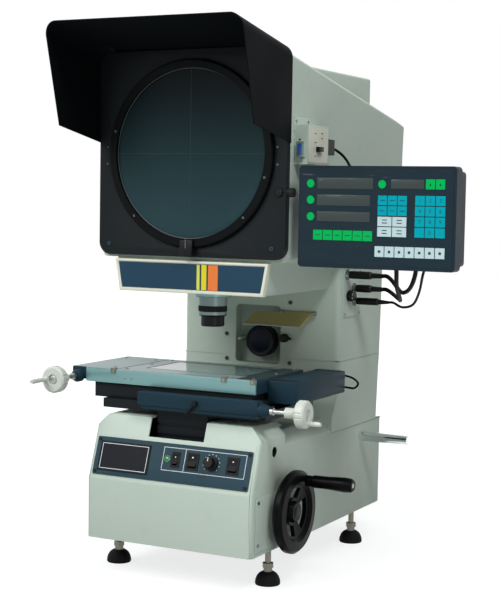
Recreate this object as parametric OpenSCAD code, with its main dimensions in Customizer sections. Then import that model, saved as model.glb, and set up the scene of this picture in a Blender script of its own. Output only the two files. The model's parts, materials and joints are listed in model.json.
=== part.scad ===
// Vertical profile projector (optical comparator) with a round ground-glass screen.
// The origin lies on the floor at the centre of the four feet. The screen faces -Y.

/* [Feet] */
// Distance of the foot studs inside the base's sides
foot_in = 12.5; // [10:0.5:30]
// Half the distance between the front and rear feet
foot_y = 188; // [170:1:200]
// Diameter of the rubber foot pad
pad_d = 46; // [36:1:56]
// Height of the rubber foot pad
pad_h = 23; // [18:1:26]
// Diameter of the threaded foot stud
stud_d = 11; // [8:1:14]
// Width across the flats of the foot nut
nut_flats = 19; // [17:1:24]
// Height of each foot nut
nut_h = 8; // [6:1:10]

/* [Base] */
// Width of the base housing
base_w = 341; // [335:1:350]
// Distance of the base front ahead of the origin
base_front = 280; // [270:1:290]
// Distance of the base back behind the origin
base_back = 305; // [300:1:320]
// Height of the base underside above the floor
base_z = 65; // [60:1:70]
// Height where the front wall starts to lean back
crease_z = 176; // [170:1:180]
// Height of the front housing's top
rim_z = 291; // [286:1:293]
// How far the sloping front leans back at its top
slope_run = 39; // [30:1:45]
// Depth of the front housing's flat top
housing_top = 88; // [80:1:95]
// Height of the deck between the front housing and the column
deck_z = 271; // [266:1:276]
// Height of the ledge that carries the column
ledge_z = 243; // [238:1:248]
// Wall thickness of the base housing
base_wall = 3; // [2:0.5:4]
// Width of the sloping shoulder along each top edge
shoulder_w = 22; // [14:1:26]
// Height of the sloping shoulder along each top edge
shoulder_h = 23; // [16:1:24]
// Thickness of the bottom plate
floor_t = 4; // [3:0.5:6]

/* [Control panel] */
// Distance of the control panel's ends inside the base's sides
panel_edge = 10; // [8:0.5:14]
// Height of the control panel plate along the slope
panel_h = 70; // [66:1:74]
// Distance of the panel's lower edge above the crease, along the slope
panel_v = 7.5; // [5:0.5:12]
// Thickness of the control panel plate
panel_t = 2.5; // [2:0.5:4]
// Width of the bare badge plate
badge_w = 106; // [90:1:108]
// Height of the bare badge plate
badge_h = 54; // [46:1:56]
// Height of the switch row above the crease, along the slope
switch_v = 49; // [46:1:52]
// Diameter of the dimmer knob
dimmer_d = 26; // [20:1:28]

/* [Focus drive] */
// Height of the focus handwheel's axis
wheel_z = 132; // [126:1:136]
// Distance of the handwheel's axis ahead of the origin
wheel_front = 166; // [164:1:168]
// Outer radius of the handwheel
wheel_r = 75; // [68:1:80]
// Diameter of the handwheel shaft and of the lift screw
shaft_d = 16; // [12:1:16]
// Length of the turning grip
grip_l = 80; // [70:1:90]
// Diameter of the turning grip at its thick end
grip_d = 27; // [24:1:30]
// Diameter of the two guide rods
guide_d = 20; // [16:1:22]

/* [Lifting rods] */
// Diameter of the lifting rods
rod_d = 19; // [16:1:22]
// How far a lifting rod stands out of the base
rod_out = 105; // [90:1:120]
// Distance of the lifting rods behind the origin
rod_back = 194; // [185:1:200]
// Height of the lifting rods
rod_z = 217; // [210:1:220]

/* [Column] */
// How far the column stands out past the base on each side
col_over = 1.5; // [0.5:0.5:4]
// Distance of the column's front wall behind the origin
col_front = 75; // [72:1:80]
// Distance of the column's back wall behind the origin at its foot
col_back = 277; // [270:1:285]
// How far the column's back wall leans back at its top
col_lean = 16; // [8:1:20]
// How far the column's front flares forward at its foot
col_flare = 26; // [20:1:30]
// Height where the flare starts
flare_z = 316; // [308:1:318]
// Wall thickness of the column
col_wall = 4; // [3:0.5:5]
// Height of the cover seam around the column
seam_z = 377; // [370:1:384]

/* [Head] */
// How far the head's underside lies below the screen frame
head_drop = 4; // [2:0.5:6]
// Distance of the head's back behind the origin
head_back = 343; // [335:1:350]
// Height of the roof just behind the screen frame
roof_z = 946; // [940:1:950]
// Fall of the roof per millimetre towards the back
roof_fall = 0.1755; // [0.16:0.005:0.19]
// Wall thickness of the head
head_wall = 4; // [3:0.5:5]
// Height of the neck's underside
neck_z = 518; // [515:1:522]
// Width of the neck at its underside
neck_low_w = 299; // [290:1:305]
// Width of the neck at its top
neck_top_w = 318; // [312:1:324]
// Width of the mirror box on the roof
box_w = 300; // [280:1:320]
// Height of the mirror box's flat top
box_z = 938; // [930:1:942]
// Distance of the mirror box's back behind the origin
box_back = 259; // [250:1:270]

/* [Screen] */
// Distance of the screen frame's front face ahead of the origin
screen_front = 213; // [211:1:216]
// Height of the screen centre
screen_z = 770; // [766:1:774]
// Width of the black screen frame
frame_w = 386; // [385:1:390]
// Height of the black screen frame
frame_h = 373; // [368:1:376]
// How far the screen frame stands out past the head on each side
frame_edge = 2; // [1:0.5:3]
// Thickness of the black screen frame
frame_t = 12; // [11:1:14]
// Visible diameter of the screen glass
view_d = 306; // [300:1:308]
// Diameter of the screen glass
glass_d = 312; // [311:1:314]
// Thickness of the screen glass
glass_t = 5; // [4:0.5:6]
// Outer diameter of the turning screen ring
ring_d = 336; // [332:1:340]
// How far the ring stands proud of the frame
ring_proud = 8; // [6:1:10]
// Reach of the hood ahead of the screen frame at its top
hood_top = 191; // [180:1:200]
// Reach of the hood ahead of the screen frame at its lower corners
hood_low = 131; // [120:1:140]
// Height of the hood's lower front corners
hood_front_z = 815; // [805:1:825]
// Height of the hood's lower back corners
hood_back_z = 789; // [780:1:798]
// Sheet thickness of the hood
hood_t = 2; // [1.5:0.5:3]

/* [Optics] */
// Distance of the optical axis ahead of the origin
axis_front = 121; // [120:1:122]
// Length of the objective below the neck
lens_l = 65; // [60:1:66]
// Diameter of the objective flange
lens_flange_d = 72; // [66:1:76]
// Diameter of the objective barrel
lens_d = 52; // [48:1:54]
// Diameter of the objective's lower end
lens_tip_d = 44; // [40:1:46]
// Diameter of the surface lamp's front lens
lamp_lens_d = 62; // [56:1:64]
// Height of the surface lamp's axis
lamp_lens_z = 409; // [405:1:412]
// Width of the half mirror
mirror_w = 122; // [110:1:130]
// Depth of the half mirror
mirror_l = 60; // [54:1:62]
// Tilt of the half mirror below level
mirror_tilt = 22; // [15:1:25]

/* [Stage] */
// Height of the table top
table_z = 372; // [370:1:374]
// Thickness of the table
table_t = 26; // [24:1:28]
// Distance from the optical axis to the table's left end
table_left = 208; // [204:1:212]
// Distance from the optical axis to the table's right end
table_right = 148; // [144:1:150]
// Distance from the optical axis to the table's front
table_ahead = 110; // [106:1:112]
// Distance from the optical axis to the table's back
table_behind = 88; // [84:1:92]
// Width of the stage glass
stage_glass_w = 210; // [200:1:216]
// Depth of the stage glass
stage_glass_d = 120; // [116:1:124]
// Thickness of the saddle
saddle_t = 28; // [26:1:30]
// Thickness of the stage's lower plate
plate_t = 17; // [15:1:18]
// Width of the slide rails
rail_w = 16; // [12:1:18]
// Height of the slide rails
rail_h = 8; // [6:1:9]
// Diameter of the crank wheels
crank_d = 49; // [44:1:52]
// Thickness of the crank wheels
crank_t = 18; // [14:1:20]
// Diameter of the crank shafts
crank_shaft_d = 8; // [6:1:10]

/* [Readout] */
// Width of the digital readout
readout_w = 287; // [280:1:290]
// Height of the digital readout
readout_h = 175; // [170:1:180]
// Depth of the digital readout
readout_t = 66; // [60:1:68]
// Gap between the head's side and the readout
readout_gap = 23.5; // [22:0.5:30]
// Height of the readout's middle
readout_z = 662.5; // [660:0.5:664]
// Diameter of the readout's swivel pin
pivot_d = 16; // [12:1:18]

/* [Fits] */
// Radial clearance of a running fit
run_gap = 0.05; // [0.02:0.01:0.08]
// Clearance between sliding faces
slide_gap = 0.3; // [0.2:0.05:0.4]

/* [Hidden] */
$fn = 64;

// Layout worked out from the sizes above
y_screen = -screen_front;
y_axis = -axis_front;
y_rim = -base_front + slope_run;
y_housing_back = y_rim + housing_top;
y_deck = y_housing_back + 27;
y_col_foot = col_front - col_flare;
y_wheel = -wheel_front;
slope_tilt = atan(slope_run / (rim_z - crease_z));
head_front = y_screen + frame_t;
base_side = base_w / 2;
foot_x = base_side - foot_in;
panel_w = base_w - 2 * panel_edge;
col_w = base_w + 2 * col_over;
col_side = col_w / 2;
frame_side = frame_w / 2;
head_w = frame_w - 2 * frame_edge;
head_side = head_w / 2;
frame_low_z = screen_z - frame_h / 2 + 0.5;
frame_high_z = frame_low_z + frame_h;
head_z = frame_low_z - head_drop;
readout_x = head_side + readout_gap + readout_w / 2;

// Stacked heights of the stage
table_low = table_z - table_t;
saddle_top = table_low - slide_gap;
saddle_low = saddle_top - saddle_t;
plate_top = saddle_low - slide_gap;
plate_low = plate_top - plate_t;
table_front = y_axis - table_ahead;
table_back = y_axis + table_behind;

// Extrudes a side outline, given as [y, z] points, symmetrically along X
module side_form(width, points) {
    rotate([90, 0, 90])
        linear_extrude(width, center = true)
            polygon(points);
}

// Extrudes a front view, drawn in X and Z, from y0 to y1
module front_form(y0, y1) {
    translate([0, y1, 0])
        rotate([90, 0, 0])
            linear_extrude(y1 - y0)
                children();
}

// A box between two corners
module box_between(low, high) {
    translate(low)
        cube(high - low);
}

// A rectangle with round corners about its middle
module round_rect(w, h, r) {
    square([w - 2 * r, h], center = true);
    square([w, h - 2 * r], center = true);
    for (sx = [-1, 1], sy = [-1, 1])
        translate([sx * (w / 2 - r), sy * (h / 2 - r)])
            circle(r);
}

// A bar along X from x0 to x1 at a place in Y and Z
module bar_x(x0, x1, y, z, d) {
    translate([x0, y, z])
        rotate([0, 90, 0])
            cylinder(h = x1 - x0, d = d);
}

// A bar along Y from y0 to y1 at a place in X and Z
module bar_y(y0, y1, x, z, d) {
    translate([x, y0, z])
        rotate([-90, 0, 0])
            cylinder(h = y1 - y0, d = d);
}

// A revolved form about X, given as [radius, x] points
module revolve_x(y, z, points) {
    translate([0, y, z])
        rotate([0, 90, 0])
            rotate_extrude()
                polygon(points);
}

// A revolved form about Y, given as [radius, y] points
module revolve_y(x, z, points) {
    translate([x, 0, z])
        rotate([-90, 0, 0])
            rotate_extrude()
                polygon(points);
}

// Puts children on the sloping front: X across, Y into the base, Z up the slope
module on_slope() {
    translate([0, -base_front, crease_z])
        rotate([-slope_tilt, 0, 0])
            children();
}

// Repeats children at the four feet
module at_feet() {
    for (sx = [-1, 1], sy = [-1, 1])
        translate([sx * foot_x, sy * foot_y, 0])
            children();
}

/* Base housing */

boss_h = 15;
stud_top = base_z + floor_t + boss_h;
socket_l = 58;
socket_wall = 6;
socket_y = -195;
socket_z = 242;
notch_w = 114;
notch_z = 257;
window_w = 72;
window_back = y_axis + 36;
cover_t = 2;
cover_ahead = 102;
cover_behind = 116;
cover_edge = 8;
bush_d = 28;

// Side outline of the base, moved inwards by the wall t
function base_outline(t) = [
    [-base_front + t, base_z - (t > 0 ? 1 : 0)],
    [-base_front + t, crease_z],
    [y_rim + t, rim_z - t],
    [y_housing_back - t / 2, rim_z - t],
    [y_deck - t / 2, deck_z - t],
    [y_col_foot - t, deck_z - t],
    [y_col_foot - t, ledge_z - t],
    [base_back - t, ledge_z - t],
    [base_back - t, base_z - (t > 0 ? 1 : 0)]
];

// The sloping shoulder cut away along one top edge
module shoulder_cut(side, top, y0, y1, t) {
    front_form(y0, y1)
        polygon([
            [side * (base_side - t - shoulder_w), top - t],
            [side * (base_side - t), top - t - shoulder_h],
            [side * (base_side + 10), top - t - shoulder_h],
            [side * (base_side + 10), top + 10],
            [side * (base_side - t - shoulder_w), top + 10]
        ]);
}

module base_form(t) {
    difference() {
        side_form(base_w - 2 * t, base_outline(t));
        for (side = [-1, 1]) {
            shoulder_cut(side, rim_z, -base_front - 10, y_deck, t);
            shoulder_cut(side, deck_z, y_housing_back, y_col_foot, t);
        }
    }
}

// Places along the switch row: left to right
lamp_x = -8;
rocker_x = [9, 44, 125];
rocker_w = [9, 16, 16];
rocker_h = [20, 23, 23];
dimmer_x = 82;
bezel_edge = 2.5;
rocker_gap = 0.5;
bezel_deep = 18;
dimmer_shaft_d = 6;
pilot_d = 9;

// Holes for the switches, the lamp and the dimmer through panel and wall
module switch_holes() {
    on_slope() {
        for (i = [0:2])
            translate([rocker_x[i], 0, switch_v])
                cube([rocker_w[i] + 2 * bezel_edge, 60, rocker_h[i] + 2 * bezel_edge], center = true);
        bar_y(-30, 30, lamp_x, switch_v, pilot_d + 2 * run_gap);
        bar_y(-30, 30, dimmer_x, switch_v, dimmer_shaft_d + 2 * run_gap);
    }
}

module base_shell() {
    color([0.72, 0.78, 0.73])
        difference() {
            union() {
                difference() {
                    base_form(0);
                    base_form(base_wall);
                }
                for (side = [-1, 1])
                    mirror([side < 0 ? 1 : 0, 0, 0]) {
                        bar_x(base_side - socket_l, base_side - 1, rod_back, rod_z,
                            rod_d + 2 * socket_wall);
                        bar_x(base_side - socket_l, base_side - 1, socket_y, socket_z,
                            rod_d + 2 * socket_wall);
                    }
            }
            box_between([-notch_w / 2, -base_front - 1, notch_z],
                [notch_w / 2, y_wheel + 17, rim_z + 1]);
            box_between([-window_w / 2, y_wheel, deck_z - 20], [window_w / 2, window_back, rim_z + 1]);
            switch_holes();
            bar_x(base_side - 20, base_side + 20, y_wheel, wheel_z, bush_d + 2 * run_gap);
            bar_x(-base_w, base_w, rod_back, rod_z, rod_d + 2 * run_gap);
            bar_x(-base_w, base_w, socket_y, socket_z, rod_d + 2 * run_gap);
            bar_y(base_back - 20, base_back + 20, inlet_x, inlet_z, inlet_d + 2 * run_gap);
        }
}

module base_plate() {
    color([0.45, 0.47, 0.47])
        difference() {
            union() {
                box_between([-base_side + base_wall, -base_front + base_wall, base_z],
                            [base_side - base_wall, base_back - base_wall, base_z + floor_t]);
                at_feet()
                    translate([0, 0, base_z])
                        cylinder(h = floor_t + boss_h, d = stud_d + 8);
            }
            at_feet()
                translate([0, 0, base_z - 1])
                    cylinder(h = floor_t + boss_h + 2, d = stud_d + 2 * run_gap);
        }
}

module foot_pads() {
    color([0.07, 0.07, 0.08])
        at_feet()
            rotate_extrude()
                polygon(concat(
                    [[0, 0], [pad_d / 2 - 1, 0], [pad_d / 2, 2]],
                    [for (a = [10:10:70]) [8 + (pad_d / 2 - 8) * cos(a), 2 + (pad_h - 2) * sin(a)]],
                    [[11, pad_h], [stud_d / 2 + run_gap, pad_h], [stud_d / 2 + run_gap, pad_h / 2],
                    [0, pad_h / 2]]
                ));
}

module foot_screws() {
    color([0.72, 0.66, 0.48])
        at_feet() {
            translate([0, 0, pad_h / 2])
                cylinder(h = stud_top - pad_h / 2, d = stud_d);
            translate([0, 0, pad_h])
                cylinder(h = nut_h, d = stud_d + 5);
            translate([0, 0, pad_h + nut_h])
                cylinder(h = nut_h, d = nut_flats / cos(30), $fn = 6);
        }
}

module side_cover() {
    color([0.70, 0.76, 0.71])
        difference() {
            box_between([base_side, y_wheel - cover_ahead, base_z + cover_edge],
                [base_side + cover_t, y_wheel + cover_behind, crease_z - cover_edge + 3]);
            bar_x(base_side - 1, base_side + cover_t + 1, y_wheel, wheel_z, bush_d + 2 * run_gap);
        }
}

module control_panel() {
    color([0.27, 0.33, 0.40])
        difference() {
            on_slope()
                translate([0, 0, panel_v + panel_h / 2])
                    front_form(-panel_t, 0)
                        round_rect(panel_w, panel_h, 3);
            switch_holes();
        }
}

badge_x = -98;
badge_v = panel_v + panel_h / 2;
badge_t = 1.5;

module badge_plate() {
    color([0.10, 0.11, 0.13])
        on_slope()
            translate([badge_x, -panel_t - badge_t, badge_v])
                translate([-badge_w / 2, 0, -badge_h / 2])
                    cube([badge_w, badge_t, badge_h]);
}

module switch_bezels() {
    color([0.08, 0.08, 0.09])
        on_slope()
            for (i = [0:2])
                translate([rocker_x[i], 0, switch_v])
                    difference() {
                        union() {
                            front_form(-panel_t - 1.5, -panel_t)
                                square([rocker_w[i] + 2 * bezel_edge + 3,
                                    rocker_h[i] + 2 * bezel_edge + 3], center = true);
                            front_form(-panel_t, bezel_deep)
                                square([rocker_w[i] + 2 * bezel_edge, rocker_h[i] + 2 * bezel_edge],
                                    center = true);
                        }
                        front_form(-20, bezel_deep - 3)
                            square([rocker_w[i] + 2 * rocker_gap, rocker_h[i] + 2 * rocker_gap],
                                center = true);
                        bar_x(-rocker_w[i] / 2 - 2, rocker_w[i] / 2 + 2, rocker_pivot, 0,
                            rocker_pin_d + 2 * run_gap);
                    }
}

rocker_pivot = 3;
rocker_pin_d = 3;
rocker_rest = 7;

// A rocker that rests with its upper end pressed in
module rocker(i) {
    on_slope()
        translate([rocker_x[i], rocker_pivot, switch_v])
            rotate([-rocker_rest, 0, 0]) {
                side_form(rocker_w[i], [
                    [-8.6, rocker_h[i] / 2 - 1.2], [-6.4, 0], [-8.6, -rocker_h[i] / 2 + 1.2],
                    [0, -rocker_h[i] / 2 + 1], [4, -3], [4, 3], [0, rocker_h[i] / 2 - 1]
                ]);
                bar_x(-rocker_w[i] / 2 - 2, rocker_w[i] / 2 + 2, 0, 0, rocker_pin_d);
            }
}

module power_rocker() {
    color([0.05, 0.05, 0.06])
        rocker(0);
}

module contour_rocker() {
    color([0.05, 0.05, 0.06])
        rocker(1);
}

module surface_rocker() {
    color([0.05, 0.05, 0.06])
        rocker(2);
}

module pilot_lamp() {
    color([0.05, 0.75, 0.35])
        on_slope()
            revolve_y(lamp_x, switch_v, [
                [0, -panel_t - 4], [3, -panel_t - 3.4], [5, -panel_t - 1.5], [6.5, -panel_t - 1.5],
                [6.5, -panel_t], [pilot_d / 2, -panel_t], [pilot_d / 2, 12], [0, 12]
            ]);
}

module dimmer_knob() {
    color([0.05, 0.05, 0.06])
        on_slope()
            difference() {
                revolve_y(dimmer_x, switch_v, [
                    [0, -panel_t - 16], [dimmer_d / 2 - 4, -panel_t - 16],
                    [dimmer_d / 2 - 3, -panel_t - 5],
                    [dimmer_d / 2, -panel_t - 4], [dimmer_d / 2, -panel_t - slide_gap],
                    [dimmer_shaft_d / 2, -panel_t - slide_gap], [dimmer_shaft_d / 2, 10], [0, 10]
                ]);
                for (a = [0:30:330])
                    translate([dimmer_x, 0, switch_v])
                        rotate([0, a, 0])
                            bar_y(-panel_t - 20, -panel_t - 5.5, dimmer_d / 2 - 2, 0, 2.4);
            }
}

/* Focus drive */

bevel_near = shaft_d / 2 + 1;
bevel_far = bevel_near + 10;
hub_x = base_side + 13;
rim_x = hub_x + 14;
grip_dy = 33;
grip_dz = 52;
grip_x = rim_x + 20;
grip_pin_d = 10;
carriage_w = 104;
carriage_h = 125;
carriage_low = plate_low - carriage_h;
carriage_front = y_wheel - 64;
carriage_back = y_wheel + 12;
guide_dx = 36;
guide_y = y_wheel - 34;
frame_low = base_z + floor_t;
screw_top = carriage_low + 70;

module wheel_bush() {
    color([0.62, 0.63, 0.62])
        revolve_x(y_wheel, wheel_z, [
            [shaft_d / 2 + run_gap, base_side - 20], [bush_d / 2, base_side - 20],
            [bush_d / 2, base_side + cover_t],
            [bush_d / 2 + 7, base_side + cover_t], [bush_d / 2 + 6, base_side + cover_t + 6],
            [shaft_d / 2 + run_gap, base_side + cover_t + 6]
        ]);
}

// One of the three windows between the spokes of the handwheel
module wheel_window() {
    rotate_extrude(angle = 84)
        polygon([[25, -20], [wheel_r - 31, -20], [wheel_r - 31, 20], [25, 20]]);
}

module handwheel() {
    color([0.06, 0.06, 0.07]) {
        difference() {
            revolve_x(y_wheel, wheel_z, [
                [0, hub_x - 3], [17, hub_x - 3], [20, hub_x + 5], [wheel_r - 26, rim_x - 4],
                [wheel_r - 20, rim_x - 9], [wheel_r - 5, rim_x - 9], [wheel_r, rim_x - 3],
                [wheel_r, rim_x + 5],
                [wheel_r - 5, rim_x + 10], [wheel_r - 20, rim_x + 11], [wheel_r - 27, rim_x + 4],
                [20, hub_x + 13], [17, hub_x + 20], [0, hub_x + 20]
            ]);
            for (a = [0:120:240])
                translate([hub_x + 10, y_wheel, wheel_z])
                    rotate([0, 90, 0])
                        rotate([0, 0, a + 35])
                            wheel_window();
        }
        bar_x(bevel_near, hub_x, y_wheel, wheel_z, shaft_d);
        revolve_x(y_wheel, wheel_z, [
            [0, bevel_near], [bevel_near - slide_gap, bevel_near], [bevel_far - slide_gap, bevel_far],
            [shaft_d / 2, bevel_far + 8], [0, bevel_far + 8]
        ]);
        bar_x(rim_x, grip_x - slide_gap, y_wheel + grip_dy, wheel_z + grip_dz, 20);
        bar_x(rim_x, grip_x + grip_l - 6, y_wheel + grip_dy, wheel_z + grip_dz, grip_pin_d);
    }
}

module handwheel_grip() {
    color([0.06, 0.06, 0.07])
        revolve_x(y_wheel + grip_dy, wheel_z + grip_dz, [
            [grip_pin_d / 2 + run_gap, grip_x], [grip_d / 2 - 3.5, grip_x], [grip_d / 2 - 2.2, grip_x + 4],
            [grip_d / 2 - 1.8, grip_x + grip_l * 0.4],
            [grip_d / 2, grip_x + grip_l * 0.8], [grip_d / 2 - 1, grip_x + grip_l - 4],
            [grip_d / 2 - 4, grip_x + grip_l], [grip_pin_d / 2 + run_gap, grip_x + grip_l]
        ]);
}

module lift_frame() {
    color([0.35, 0.37, 0.38])
        difference() {
            union() {
                box_between([-carriage_w / 2, guide_y - 18, frame_low],
                    [carriage_w / 2, carriage_back, frame_low + 10]);
                for (side = [-1, 1])
                    translate([side * guide_dx, guide_y, frame_low])
                        cylinder(h = rim_z - 4 - frame_low, d = guide_d);
                translate([0, y_wheel, frame_low])
                    cylinder(h = wheel_z - bevel_far - slide_gap - frame_low, d = shaft_d + 8);
                box_between([bevel_far + 12, y_wheel - 12, frame_low],
                    [bevel_far + 24, carriage_back, wheel_z + 14]);
            }
            bar_x(0, bevel_far + 40, y_wheel, wheel_z, shaft_d + 2 * run_gap);
            translate([0, y_wheel, frame_low + 5])
                cylinder(h = 200, d = shaft_d + 2 * run_gap);
        }
}

module lift_screw() {
    color([0.60, 0.61, 0.62]) {
        translate([0, y_wheel, frame_low + 5])
            cylinder(h = screw_top - frame_low - 5, d = shaft_d);
        translate([0, y_wheel, wheel_z])
            rotate_extrude()
                polygon([
                    [0, -bevel_far], [bevel_far - slide_gap, -bevel_far],
                    [bevel_near - slide_gap, -bevel_near], [0, -bevel_near]
                ]);
    }
}

module lift_carriage() {
    color([0.10, 0.11, 0.12])
        difference() {
            box_between([-carriage_w / 2, carriage_front, carriage_low],
                [carriage_w / 2, carriage_back, plate_low]);
            for (side = [-1, 1])
                translate([side * guide_dx, guide_y, carriage_low - 1])
                    cylinder(h = carriage_h - 4, d = guide_d + 2 * run_gap);
            translate([0, y_wheel, carriage_low - 1])
                cylinder(h = carriage_h - 4, d = shaft_d + 2 * run_gap);
            for (z = [carriage_low + 20:20:plate_low - 20])
                box_between([-carriage_w / 2 - 1, carriage_front - 1, z],
                    [carriage_w / 2 + 1, carriage_front + 3, z + 6]);
        }
}

module lifting_rods() {
    color([0.80, 0.82, 0.83])
        for (side = [-1, 1])
            mirror([side < 0 ? 1 : 0, 0, 0])
                revolve_x(rod_back, rod_z, [
                    [0, base_side - socket_l + 2], [rod_d / 2, base_side - socket_l + 2],
                    [rod_d / 2, base_side + rod_out - 1.5],
                    [rod_d / 2 - 1.5, base_side + rod_out], [0, base_side + rod_out]
                ]);
}

/* Contour lamp and supply inside the base */

lamp_box_top = 172;
lamp_box_w = 90;
lamp_box_front = y_wheel + bevel_far + 3;
lamp_box_back = y_axis + 210;
condenser_d = 58;
core_w = 100;
core_l = 80;
core_h = 88;
coil_w = 64;
coil_t = 12;
inlet_x = -110;
inlet_z = 110;
inlet_d = 30;

module contour_lamp() {
    color([0.30, 0.31, 0.32])
        difference() {
            union() {
                box_between([-lamp_box_w / 2, lamp_box_front, frame_low],
                    [lamp_box_w / 2, lamp_box_back, lamp_box_top]);
                translate([0, y_axis, lamp_box_top - 1])
                    rotate_extrude()
                        polygon([
                            [0, 0], [condenser_d / 2, 0], [condenser_d / 2, deck_z + 8 - lamp_box_top],
                            [condenser_d / 2 - 2, deck_z + 12 - lamp_box_top],
                            [0, deck_z + 14 - lamp_box_top]
                        ]);
            }
            side_form(lamp_box_w - 6, [
                [y_axis + 28, frame_low + 3], [lamp_box_front + 3, lamp_box_top - 50],
                [lamp_box_front + 3, lamp_box_top - 3],
                [lamp_box_back - 3, lamp_box_top - 3], [lamp_box_back - 3, frame_low + 3]
            ]);
            translate([0, y_axis, lamp_box_top - 3.5])
                cylinder(h = deck_z - 2.5 - lamp_box_top, d = condenser_d - 18);
        }
}

module transformer() {
    color([0.42, 0.30, 0.18]) {
        box_between([-core_w / 2, lamp_box_back + 18 + coil_t, frame_low],
            [core_w / 2, lamp_box_back + 18 + coil_t + core_l, frame_low + core_h]);
        for (y = [lamp_box_back + 18, lamp_box_back + 18 + coil_t + core_l])
            box_between([-coil_w / 2, y, frame_low + 18], [coil_w / 2, y + coil_t, frame_low + core_h - 18]);
    }
}

module mains_inlet() {
    color([0.06, 0.06, 0.07])
        difference() {
            union() {
                translate([inlet_x, 0, inlet_z])
                    front_form(base_back, base_back + 4)
                        round_rect(50, 40, 4);
                bar_y(base_back - 22, base_back, inlet_x, inlet_z, inlet_d);
            }
            translate([inlet_x, 0, inlet_z])
                front_form(base_back - 18, base_back + 5)
                    round_rect(20, 15, 3);
        }
}

/* Column */

recess_x = -4;
recess_w = 100;
recess_h = 116;
recess_z = 423;
recess_deep = 24;
fan_z = 460;
fan_w = 120;
fan_t = 38;
conn_w = 80;
conn_h = 92;
conn_t = 2;
conn_y = 132;
conn_z = 510;
panel_x = col_side + conn_t;
socket_row = [[101, 547, 15], [136, 519, 15], [139, 494, 14]];
fuse_y = 112;
fuse_z = 505;

// Side outline of the column, moved inwards by the wall t
function col_outline(t) = [
    [y_col_foot + t, ledge_z - (t > 0 ? 1 : 0)],
    [y_col_foot + t, deck_z],
    [col_front + t, flare_z],
    [col_front + t, head_z - t],
    [col_back + col_lean - t, head_z - t],
    [col_back + col_lean - t, neck_z],
    [col_back - t, ledge_z - (t > 0 ? 1 : 0)]
];

// Back wall's place at the fan, where the wall leans
fan_back = col_back + col_lean * (fan_z - ledge_z) / (neck_z - ledge_z) - col_wall;

module column() {
    color([0.70, 0.76, 0.71])
        difference() {
            side_form(col_w, col_outline(0));
            side_form(col_w - 2 * col_wall, col_outline(col_wall));
            translate([recess_x, 0, recess_z])
                front_form(col_front - 1, col_front + col_wall + 1)
                    round_rect(recess_w, recess_h, 9);
            translate([0, 0, seam_z])
                linear_extrude(1.4)
                    difference() {
                        translate([-col_side - 5, y_col_foot - 5])
                            square([col_w + 10, col_back + 50 - y_col_foot]);
                        translate([-col_side + 1, col_front + 1])
                            square([col_w - 2, col_back + 60 - col_front]);
                    }
            bar_y(col_front - 1, col_front + col_wall + 1, clamp_x, clamp_z, clamp_d + 2 * run_gap);
            for (i = [-5:5])
                box_between([-48, col_back - 20, fan_z + i * 10 - 2],
                    [48, col_back + 40, fan_z + i * 10 + 2]);
        }
}

module lamp_recess() {
    color([0.62, 0.68, 0.63])
        difference() {
            translate([recess_x, 0, recess_z])
                front_form(col_front + col_wall, col_front + recess_deep + 3)
                    round_rect(recess_w + 16, recess_h + 16, 12);
            translate([recess_x, 0, recess_z])
                front_form(col_front, col_front + recess_deep)
                    round_rect(recess_w, recess_h, 9);
            bar_y(col_front, col_front + 60, 0, lamp_lens_z, lamp_lens_d - 8 + 2 * run_gap);
        }
}

module surface_lamp() {
    color([0.06, 0.07, 0.10])
        revolve_y(0, lamp_lens_z, [
            [0, col_front + 4], [lamp_lens_d / 2 - 6, col_front + 1], [lamp_lens_d / 2 - 2, col_front],
            [lamp_lens_d / 2, col_front + 2], [lamp_lens_d / 2, col_front + recess_deep],
            [lamp_lens_d / 2 - 4, col_front + recess_deep],
            [lamp_lens_d / 2 - 4, col_front + recess_deep + 90],
            [0, col_front + recess_deep + 90]
        ]);
}

clamp_x = 60;
clamp_z = 419;
clamp_d = 6;

module lamp_clamp() {
    color([0.06, 0.06, 0.07]) {
        revolve_y(clamp_x, clamp_z, [
            [0, col_front - 20], [6, col_front - 20], [8.5, col_front - 17], [8.5, col_front - 7],
            [5, col_front - slide_gap], [0, col_front - slide_gap]
        ]);
        bar_y(col_front - 2, col_front + 20, clamp_x, clamp_z, clamp_d);
        translate([clamp_x, col_front - 15, clamp_z])
            rotate([0, 90, 0])
                cylinder(h = 16, d1 = 7, d2 = 5);
    }
}

hinge_z = 470;
hinge_y = col_front - 7;
hinge_pin_d = 4;
mirror_right = 118;
mirror_t = 3;
ear_t = 5;
ear_x = [mirror_right - 66, mirror_right + 3.5];

module mirror_bracket() {
    color([0.65, 0.66, 0.65])
        for (x = ear_x)
            difference() {
                union() {
                    box_between([x - ear_t / 2, hinge_y, hinge_z - 4],
                        [x + ear_t / 2, col_front, hinge_z + 4]);
                    bar_x(x - ear_t / 2, x + ear_t / 2, hinge_y, hinge_z, 8);
                }
                bar_x(x - ear_t, x + ear_t, hinge_y, hinge_z, hinge_pin_d + 2 * run_gap);
            }
}

module half_mirror() {
    color([0.62, 0.53, 0.25])
        translate([0, hinge_y, hinge_z]) {
            bar_x(ear_x[0] - ear_t / 2, ear_x[1] + ear_t / 2, 0, 0, hinge_pin_d);
            rotate([mirror_tilt, 0, 0]) {
                box_between([mirror_right - mirror_w, -mirror_l, -mirror_t / 2],
                    [mirror_right, -6, mirror_t / 2]);
                box_between([ear_x[0] + ear_t / 2 + 1, -7, -mirror_t / 2],
                    [mirror_right, 0, mirror_t / 2]);
            }
        }
}

fan_hub_d = 40;

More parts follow.
